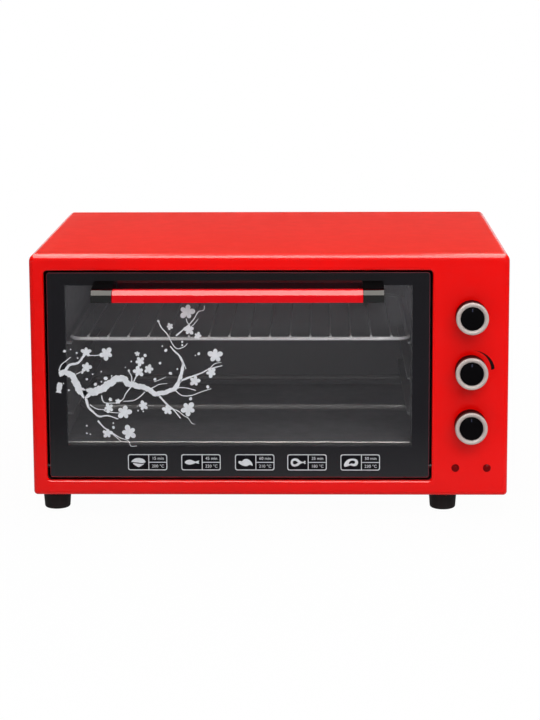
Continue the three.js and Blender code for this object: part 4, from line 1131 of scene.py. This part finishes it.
def makeBlossomPrint():
    # places are millimetres right and up from the print's lower left corner
    corner = np.array([-255.0, 60.0]) * mm
    # half widths at the two ends, then the points the stroke passes
    trunk = [
        (5.0, 2.4, [(40, 80), (50, 83), (60, 86), (69, 92), (78, 98), (86, 99), (92, 93), (103, 90),
                    (114, 87), (123, 81), (136, 83), (148, 88)]),
        (4.8, 3.0, [(43, 79), (37, 84), (32, 92), (28, 101), (20, 106), (12, 104)]),
        (2.6, 3.2, [(13, 94), (11, 82)]),
    ]
    limbs = [
        (2.8, 1.4, [(147, 88), (151, 96), (154, 106), (156, 117)]),
        (1.4, 0.6, [(156, 116), (152, 125), (146, 131), (141, 137)]),
        (1.6, 1.0, [(19, 108), (25, 115), (34, 117), (40, 124), (44, 128)]),
        (1.6, 0.6, [(43, 75), (45, 66), (51, 59), (58, 54), (67, 55), (80, 51)]),
        (1.2, 0.6, [(128, 78), (136, 69), (144, 62), (152, 52)]),
        (1.2, 0.5, [(152, 96), (165, 101), (176, 105), (186, 110), (201, 114)]),
        (1.0, 0.4, [(56, 49), (63, 41), (71, 35), (83, 24)]),
        (0.9, 0.4, [(148, 149), (155, 155), (163, 162), (169, 169), (174, 177), (180, 179), (181, 184)]),
    ]
    twigs = [
        (0.7, 0.4, [(12, 108), (15, 115), (21, 120), (26, 124)]),
        (0.6, 0.4, [(46, 126), (55, 126), (63, 127)]),
        (0.5, 0.3, [(32, 104), (38, 107), (43, 110)]),
        (0.7, 0.4, [(61, 79), (62, 73), (66, 70), (78, 70)]),
        (0.7, 0.4, [(95, 89), (89, 81), (86, 75), (80, 70)]),
        (0.7, 0.4, [(111, 83), (106, 78), (98, 73), (86, 72)]),
        (0.6, 0.4, [(47, 68), (55, 63), (65, 62)]),
        (0.6, 0.4, [(63, 61), (72, 59), (82, 58)]),
        (0.6, 0.3, [(143, 63), (150, 60), (156, 55), (161, 52), (165, 46), (169, 45)]),
        (0.6, 0.3, [(72, 35), (81, 29), (91, 25), (94, 19), (101, 19)]),
        (0.7, 0.4, [(128, 166), (131, 159), (137, 152), (140, 147), (144, 139), (149, 134), (157, 136),
                    (161, 140)]),
        (0.6, 0.4, [(160, 169), (161, 165), (164, 161)]),
        (0.5, 0.3, [(165, 159), (170, 164), (174, 169)]),
        (0.6, 0.4, [(148, 88), (158, 88), (170, 85)]),
        (0.6, 0.4, [(145, 86), (154, 79), (165, 79), (176, 83), (188, 87)]),
        (0.6, 0.3, [(186, 110), (192, 116), (200, 118)]),
        (0.6, 0.3, [(118, 87), (124, 90), (128, 92), (137, 93)]),
        (0.4, 0.3, [(122, 95), (130, 98), (136, 101)]),
        (0.7, 0.5, [(96, 94), (96, 101), (93, 107)]),
        (0.7, 0.5, [(98, 94), (102, 103)]),
        (0.6, 0.4, [(156, 118), (159, 110)]),
    ]
    # place, radius and turn
    blossoms = [
        (44, 130, 6.0, 0.3), (67, 128, 7.9, 0.9), (44, 112, 6.0, 0.1), (104, 107, 6.4, 0.5),
        (116, 110, 5.4, 0.0), (106, 119, 5.6, 0.8), (103, 128, 3.0, 0.3), (80, 72, 3.4, 0.2),
        (69, 64, 5.6, 0.7), (87, 59, 8.3, 0.1), (109, 67, 5.6, 0.6), (137, 62, 6.0, 0.4),
        (161, 63, 8.5, 0.9), (67, 34, 5.8, 0.2), (92, 35, 8.5, 0.6), (161, 177, 8.7, 0.1),
        (141, 160, 4.0, 0.7), (163, 156, 6.2, 0.4), (173, 149, 4.4, 0.0), (188, 106, 6.0, 0.8),
        (193, 126, 8.5, 0.3), (169, 96, 6.2, 0.1), (71, 74, 2.4, 0.6)]
    # place and radius
    buds = [
        (112, 126, 2.0), (129, 117, 1.6), (141, 105, 2.0), (136, 132, 2.0), (132, 137, 1.0), (155, 142, 1.4),
        (155, 138, 1.2), (149, 110, 1.2), (123, 98, 1.8), (174, 128, 1.8), (170, 126, 0.8), (73, 102, 1.0),
        (66, 99, 2.4), (61, 95, 1.0), (54, 92, 2.0), (44, 98, 1.4), (51, 104, 1.0), (61, 107, 1.0),
        (39, 106, 1.6), (33, 129, 1.2), (19, 131, 1.8), (26, 133, 0.8), (34, 123, 1.0), (23, 85, 1.2),
        (17, 93, 0.8), (43, 43, 1.0), (43, 34, 1.0), (47, 33, 0.8), (74, 41, 1.8), (74, 46, 1.0),
        (128, 166, 1.6), (184, 89, 2.0), (164, 75, 2.0), (109, 60, 1.0), (103, 61, 1.0), (96, 119, 1.0),
        (93, 108, 1.6), (89, 112, 0.8)]

    def stroke(thick, thin, points, rough):
        # the width falls towards the tip, and each edge sways on its own with three sines
        line = smoothLine(points)
        share = np.linspace(0, 1, len(line))
        width = thick + (thin - thick) * share ** 0.9
        length = np.cumsum(np.r_[0, np.linalg.norm(np.diff(line, axis=0), axis=1)])
        edges = []
        for phase in (thick * 7, thick * 11 + 2):
            sway = (np.sin(length * 0.55 + phase) + 0.7 * np.sin(length * 1.3 + 2 * phase)
                    + 0.5 * np.sin(length * 2.9))
            edges.append((width * (1 + rough * sway)) * mm)
        return ribbon(corner + line * mm, *edges)

    layers = [[stroke(*given, rough) for given in strokes]
              for strokes, rough in ((trunk, 0.13), (limbs, 0.10), (twigs, 0.06))]
    layers.append([blossom(corner + np.array([x, z]) * mm, radius * mm, turn)
                   for x, z, radius, turn in blossoms])
    layers.append([bud(corner + np.array([x, z]) * mm, radius * mm, x, 0.85) for x, z, radius in buds])
    inkPiece("blossom_branch_print", layers, glassY, printWhite, "door")


def textPart(words, size, middle):
    # numbers as filled outlines, centred on a place in x and z
    curve = bpy.data.curves.new("numbers", "FONT")
    curve.body = words
    curve.size = size
    curve.align_x = "CENTER"
    curve.align_y = "CENTER"
    curve.resolution_u = 3
    holder = newObject("numbers", curve)
    mesh = bpy.data.meshes.new_from_object(holder.evaluated_get(bpy.context.evaluated_depsgraph_get()))
    points, faces = meshPart(mesh)
    bpy.data.objects.remove(holder)
    return points[:, :2] + np.array(middle), faces


def foodIcons(centre, size):
    # five plain foods, as outlines in shares of the size: bread, fish, bird, ham and a cut of meat
    loaf = [(-1.0, 0.08), (-0.55, 0.5), (0.1, 0.6), (0.75, 0.42), (1.0, 0.02), (0.5, -0.12), (-0.1, -0.04),
            (-0.6, 0.0)]
    cut = [(-0.78, -0.16), (-0.1, -0.2), (0.5, -0.26), (0.85, -0.2), (0.45, -0.5), (0.05, -0.7),
           (-0.38, -0.5)]
    fish = [(-1.0, 0.0), (-0.7, 0.28), (-0.2, 0.36), (0.25, 0.2), (0.55, 0.07), (0.55, -0.07), (0.2, -0.24),
            (-0.25, -0.34), (-0.7, -0.26)]
    tail = [(0.45, 0.05), (0.8, 0.2), (1.05, 0.24), (0.95, 0.0), (1.05, -0.22), (0.8, -0.18), (0.45, -0.05)]
    bird = [(-0.98, 0.12), (-0.78, 0.2), (-0.5, 0.16), (-0.2, 0.42), (0.25, 0.48), (0.65, 0.25),
            (0.92, -0.1), (1.0, -0.5), (0.62, -0.36), (0.2, -0.55), (-0.3, -0.5), (-0.62, -0.35),
            (-0.95, -0.12)]
    ham = [(-1.0, -0.05), (-0.85, 0.4), (-0.45, 0.58), (0.0, 0.5), (0.36, 0.2), (0.62, 0.08), (0.62, -0.08),
           (0.33, -0.25), (0.0, -0.5), (-0.5, -0.6), (-0.85, -0.45)]
    meat = [(-1.0, -0.35), (-0.78, 0.1), (-0.35, 0.45), (0.2, 0.55), (0.75, 0.45), (1.0, 0.05), (0.85, -0.4),
            (0.4, -0.55), (-0.1, -0.42), (-0.55, -0.58), (-0.9, -0.6)]

    def at(points):
        return np.array(centre) + np.array(points, float) * size

    def solid(points):
        return filled(smoothLoop(at(points)))

    def hollow(points, middle, share):
        # the hole is the outline itself, drawn in towards a middle
        outer = smoothLoop(at(points))
        return ringBand(outer, at([middle]) + (outer - at([middle])) * share)

    # the ham's bone ends in two knuckles
    bone = [straightRibbon(*at([(0.55, 0), (0.98, 0)]), 0.08 * size)]
    bone += [bud(at(place), size * 0.13) for place in ((0.98, 0.12), (0.98, -0.12))]
    return [[solid(loaf), solid(cut)], [solid(fish), filled(at(tail))], [solid(bird)],
            [hollow(ham, (-0.45, -0.02), 0.46)] + bone, [hollow(meat, (0.25, 0.08), 0.45)]]


def makeCookingGuide():
    # five framed cells on black grounds: a picture on the left, minutes over degrees on the right
    shape = {"lefts": np.array([-164.7, -102.6, -40.2, 20.5, 82.2]) * mm, "width": 45.6 * mm,
             "bottom": 50.1 * mm, "top": 69.1 * mm, "line": 0.45 * mm, "corner": 2.6 * mm, "split": 0.53,
             "numberSize": 5.0 * mm, "minutesDrop": 0.2 * mm, "picture": 8.2 * mm}
    numbers = [("15", "200"), ("45", "220"), ("60", "210"), ("35", "180"), ("50", "230")]
    line, size = shape["line"], shape["numberSize"]
    parts, grounds = [], []

    def cellLoop(low, high, inset, corner):
        return roundedRectangle(low + inset, high - inset, corner, 5, 1)

    for i, (left, (minutes, degrees)) in enumerate(zip(shape["lefts"], numbers)):
        low, high = np.array([left, shape["bottom"]]), np.array([left + shape["width"], shape["top"]])
        middle, quarter = (low[1] + high[1]) / 2, (high[1] - low[1]) / 4
        grounds.append(filled(cellLoop(low, high, line, shape["corner"] - line)))
        parts.append(ringBand(cellLoop(low, high, 0, shape["corner"]),
                              cellLoop(low, high, 2 * line, shape["corner"] - line)))
        split = low[0] + (high[0] - low[0]) * shape["split"]
        parts.append(straightRibbon((split, low[1] + line), (split, high[1] - line), line))
        parts.append(straightRibbon((split, middle), (high[0] - line, middle), line))
        cell = (split + high[0]) / 2
        parts.append(textPart(minutes + " min", size, (cell, middle + quarter - shape["minutesDrop"])))
        parts.append(textPart(degrees + " °C", size, (cell, middle - quarter)))
        parts += foodIcons(((low[0] + split) / 2, middle), shape["picture"])[i]
    inkPiece("cooking_guide_ground", [grounds], glassY, printBlack, "door")
    # the white ink lies one layer in front of the grounds
    inkPiece("cooking_guide_print", [[], parts], glassY, printWhite, "door")


def makeHeatWedge():
    # a crescent beside the middle knob that thickens clockwise, as the heat rises
    shape = {"radius": 23.5 * mm, "start": radians(86), "end": radians(1), "thick": 3.9 * mm,
             "thin": 0.05 * mm, "blunt": 0.06, "steps": 39}
    centre, radius = middleOf("thermostat_knob"), shape["radius"]
    angles = np.linspace(shape["start"], shape["end"], shape["steps"] + 1)
    share = (shape["start"] - angles) / (shape["start"] - shape["end"])
    # the thickness follows the smooth step 3 s^2 - 2 s^3 and closes in a quarter circle at the blunt end
    wide = shape["thick"] * (3 * share ** 2 - 2 * share ** 3)
    wide *= np.sqrt(1 - np.clip((share - 1 + shape["blunt"]) / shape["blunt"], 0, 1) ** 2)
    ray = np.stack([np.cos(angles), np.sin(angles)], 1)
    outer = (radius + wide + shape["thin"])[:, None] * ray
    wedge = band(np.stack([centre + radius * ray, centre + outer], 1))
    inkPiece("heat_wedge_print", [[wedge]], frontY, printDark, "root")


makeBlossomPrint()
makeCookingGuide()
makeHeatWedge()
print("prints made")


# Pieces that stay as the frame has them

def finishCarriedPieces():
    finishes = {
        darkSteel: ["back_panel", "door_inner_frame"],
        gapShadeSteel: ["left_hinge_pin", "right_hinge_pin", "left_hinge_bracket", "right_hinge_bracket"],
        plateSteel: ["base_plate"],
        zincSteel: ["left_handle_screw", "right_handle_screw", "left_stay_arm", "right_stay_arm",
                    "control_carrier", "heat_shield"] + [name + "_shaft" for name in knobNames],
        enamel: ["cavity_left_wall", "cavity_right_wall", "cavity_roof", "cavity_back"],
        floorEnamel: ["cavity_floor"],
        darkEnamel: ["door_recess"],
        clearGlass: ["door_inner_glass"],
        blackPlastic: [name + "_switch" for name in knobNames],
        heaterSteel: ["thermostat_probe"],
        whitePlastic: ["terminal_block", "left_indicator_housing", "right_indicator_housing"],
        sleeveGrey: ["wiring_loom"],
    }
    for (material, slot), names in finishes.items():
        for name in names:
            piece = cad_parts[name]
            piece.data.materials.clear()
            piece.data.materials.append(material)


finishCarriedPieces()
print("carried pieces finished")


# Studio

def seenDirectly(tree):
    # one for camera, glossy and transmission rays, and nothing for the light that scatters
    rays = addNode(tree, "LightPath").outputs
    seen = maths(tree, "MAXIMUM", rays["Is Camera Ray"], rays["Is Glossy Ray"])
    return maths(tree, "MAXIMUM", seen, rays["Is Transmission Ray"])


def flatSheet(reach, near, far):
    # one quad, as wide as reach to both sides, from a near to a far edge that each have a y and a z
    return np.array([[(x, y, z) for x in (-reach, reach)] for y, z in (near, far)], float)


def studioSheet(name, grid, makeSurface, closed=False):
    # a sheet of the studio with a material of its own, made from what makeSurface gives for its tree
    piece = newObject(name, gridMesh(name, grid, closedColumns=closed))
    material = bpy.data.materials.new(name)
    material.use_nodes = True
    tree = material.node_tree
    tree.nodes.clear()
    addNode(tree, "OutputMaterial", {"Surface": makeSurface(tree)})
    piece.data.materials.append(material)
    return piece


def makeFloor():
    # a matt floor for the light that scatters, and an even white one for what is seen
    look = {"size": 14.0, "colour": (0.60, 0.60, 0.60), "glowNear": 0.975, "glowFar": 1.0, "near": 0.35,
            "far": 1.1}

    def surface(tree):
        mottle = between(tree, noise(tree, 6.0, detail=3.0), 0.2, 0.8, 0.97, 1.0)
        tone = brightened(tree, look["colour"], mottle)
        matt = addNode(tree, "BsdfDiffuse", {"Color": tone}).outputs[0]
        white = addNode(tree, "Emission", {"Color": (1, 1, 1), "Strength": 1.0}).outputs[0]
        # the object's soft shadow stays close to it, and the floor is plain white further out
        distance = vectors(tree, "LENGTH", objectPlace(tree))
        glow = between(tree, distance, look["near"], look["far"], look["glowNear"], look["glowFar"])
        share = maths(tree, "MULTIPLY", seenDirectly(tree), glow)
        return addNode(tree, "MixShader", {0: share, 1: matt, 2: white}).outputs[0]

    size = look["size"]
    floor = studioSheet("studio_floor", flatSheet(size, (-size, 0), (size, 0)), surface)


def makeWorld():
    # dim for the light that scatters, white where it is seen
    look = {"ambient": 0.42, "seen": 1.0}
    world = bpy.data.worlds.new("studio air")
    scene.world = world
    world.use_nodes = True
    tree = world.node_tree
    background = tree.nodes["Background"].inputs
    fill(tree, background["Color"], (1, 1, 1))
    light = between(tree, seenDirectly(tree), 0.0, 1.0, look["ambient"], look["seen"], smooth=False)
    fill(tree, background["Strength"], light)


def reflectionCard(name, grid, makeStrength, closed=False, colour=(1, 1, 1)):
    # a card that only shows in reflections, as a photographer sets round a glossy thing
    def surface(tree):
        return addNode(tree, "Emission", {"Color": colour, "Strength": makeStrength(tree)}).outputs[0]

    card = studioSheet(name, grid, surface, closed)
    for ray in ("camera", "diffuse", "transmission", "volume_scatter", "shadow"):
        setattr(card, "visible_" + ray, False)


def makeFrontCard():
    # slopes down from the ceiling's front edge, so that the casing's upper front edge shows it further down
    look = {"strength": 15.5, "reach": 1.4, "near": (-2.0, 1.74), "far": (-1.6, 1.9), "fade": (1.75, 1.78)}

    def strength(tree):
        return between(tree, axesOf(tree)[2], *look["fade"], 0.0, look["strength"])

    reflectionCard("front_card", flatSheet(look["reach"], look["near"], look["far"]), strength)


def makeCeilingCard():
    # bright over the front and to both sides, dim over the middle, and fading to the card's edges
    look = {"front": 15.5, "ends": 11.0, "middle": 1.3, "colour": (1.0, 0.97, 0.90), "reach": 1.7,
            "near": (-1.6, 1.9), "far": (2.3, 1.9), "frontEnds": (-0.25, -0.05), "middleEnds": (0.22, 0.48),
            "sideFade": (1.2, 1.7), "rearFade": (1.4, 2.2)}

    def strength(tree):
        axes = axesOf(tree)
        aside = maths(tree, "ABSOLUTE", axes[0])
        inside = between(tree, aside, *look["sideFade"], 1.0, 0.0)
        end = between(tree, axes[1], *look["rearFade"], 1.0, 0.0)
        behind = between(tree, axes[1], *look["frontEnds"])
        back = between(tree, aside, *look["middleEnds"], look["middle"], look["ends"])
        full = addNode(tree, "Mix", {0: behind, 2: look["front"], 3: back}).outputs[0]
        return maths(tree, "MULTIPLY", full, maths(tree, "MULTIPLY", inside, end))

    reflectionCard("ceiling_card", flatSheet(look["reach"], look["near"], look["far"]), strength,
                   colour=look["colour"])


def makeSurroundCard():
    # a dome above the foot: rings of one height, each as wide as the cosine of its rise
    look = {"foot": 0.62, "radius": 5.0, "low": 0.085, "high": 0.35, "colour": (1.0, 0.88, 0.55),
            "rings": 12, "sides": 48}

    def strength(tree):
        return between(tree, axesOf(tree)[2], look["foot"], look["radius"], look["low"], look["high"])

    turns = np.arange(look["sides"]) * tau / look["sides"]
    rises = np.linspace(0, pi / 2, look["rings"] + 1)[:-1, None]
    across = look["radius"] * np.cos(rises)
    heights = np.broadcast_to(look["foot"] + look["radius"] * np.sin(rises), (look["rings"], look["sides"]))
    dome = np.stack([across * np.cos(turns), across * np.sin(turns), heights], -1)
    reflectionCard("surround_card", dome, strength, closed=True, colour=look["colour"])


def makeFloorCard():
    # pale close to the oven's footprint and dark further out, by the distance outside it
    look = {"reach": 5.0, "height": 1 * mm, "near": 0.50, "far": 0.20, "fade": (0.10, 0.50)}

    def strength(tree):
        away = vectors(tree, "ABSOLUTE", objectPlace(tree))
        past = vectors(tree, "SUBTRACT", away, (float(coverHigh[0]), float(-frontY), 0.0))
        distance = vectors(tree, "LENGTH", vectors(tree, "MAXIMUM", past, (0, 0, 0)))
        return between(tree, distance, *look["fade"], look["near"], look["far"])

    reach, height = look["reach"], look["height"]
    reflectionCard("floor_card", flatSheet(reach, (-reach, height), (reach, height)), strength)


def makeLamps():
    # a wide softbox overhead and a smaller one in front, to the right
    lamps = {"overhead_softbox": {"place": (0.0, 0.1, 2.2), "target": (0.0, 0.0, 0.2), "size": (1.6, 1.4),
                                  "power": 38.0},
             "front_softbox": {"place": (0.50, -1.5, 1.05), "target": (0.1, -0.2, 0.26), "size": (1.2, 0.9),
                               "power": 13.0}}
    for name, look in lamps.items():
        light = bpy.data.lights.new(name, "AREA")
        light.shape = "RECTANGLE"
        light.size, light.size_y = look["size"]
        light.energy = look["power"]
        lamp = newObject(name, light)
        lamp.location = look["place"]
        way = np.array(look["target"]) - np.array(look["place"])
        yaw = np.arctan2(-way[0], way[1])
        pitch = np.arctan2(np.hypot(way[0], way[1]), -way[2])
        lamp.rotation_euler = (pitch, 0, yaw)
        lamp.visible_glossy = False
        lamp.visible_camera = False


def makeCamera():
    # the photograph's upright edges hardly draw together, as when the lens is shifted down a little
    view = {"place": (0.0607, -2.5059, 0.64711), "turn": 0.02462, "tilt": 0.15574, "roll": 0.00507,
            "lens": 103.106, "shift": -0.12}
    lens = bpy.data.cameras.new("photo_camera")
    lens.lens = view["lens"]
    lens.shift_y = view["shift"]
    camera = newObject("photo_camera", lens)
    camera.location = view["place"]
    camera.rotation_euler = (pi / 2 - view["tilt"], view["roll"], view["turn"])
    scene.camera = camera


makeFloor()
makeWorld()
makeFrontCard()
makeCeilingCard()
makeSurroundCard()
makeFloorCard()
makeLamps()
makeCamera()
print("studio made")
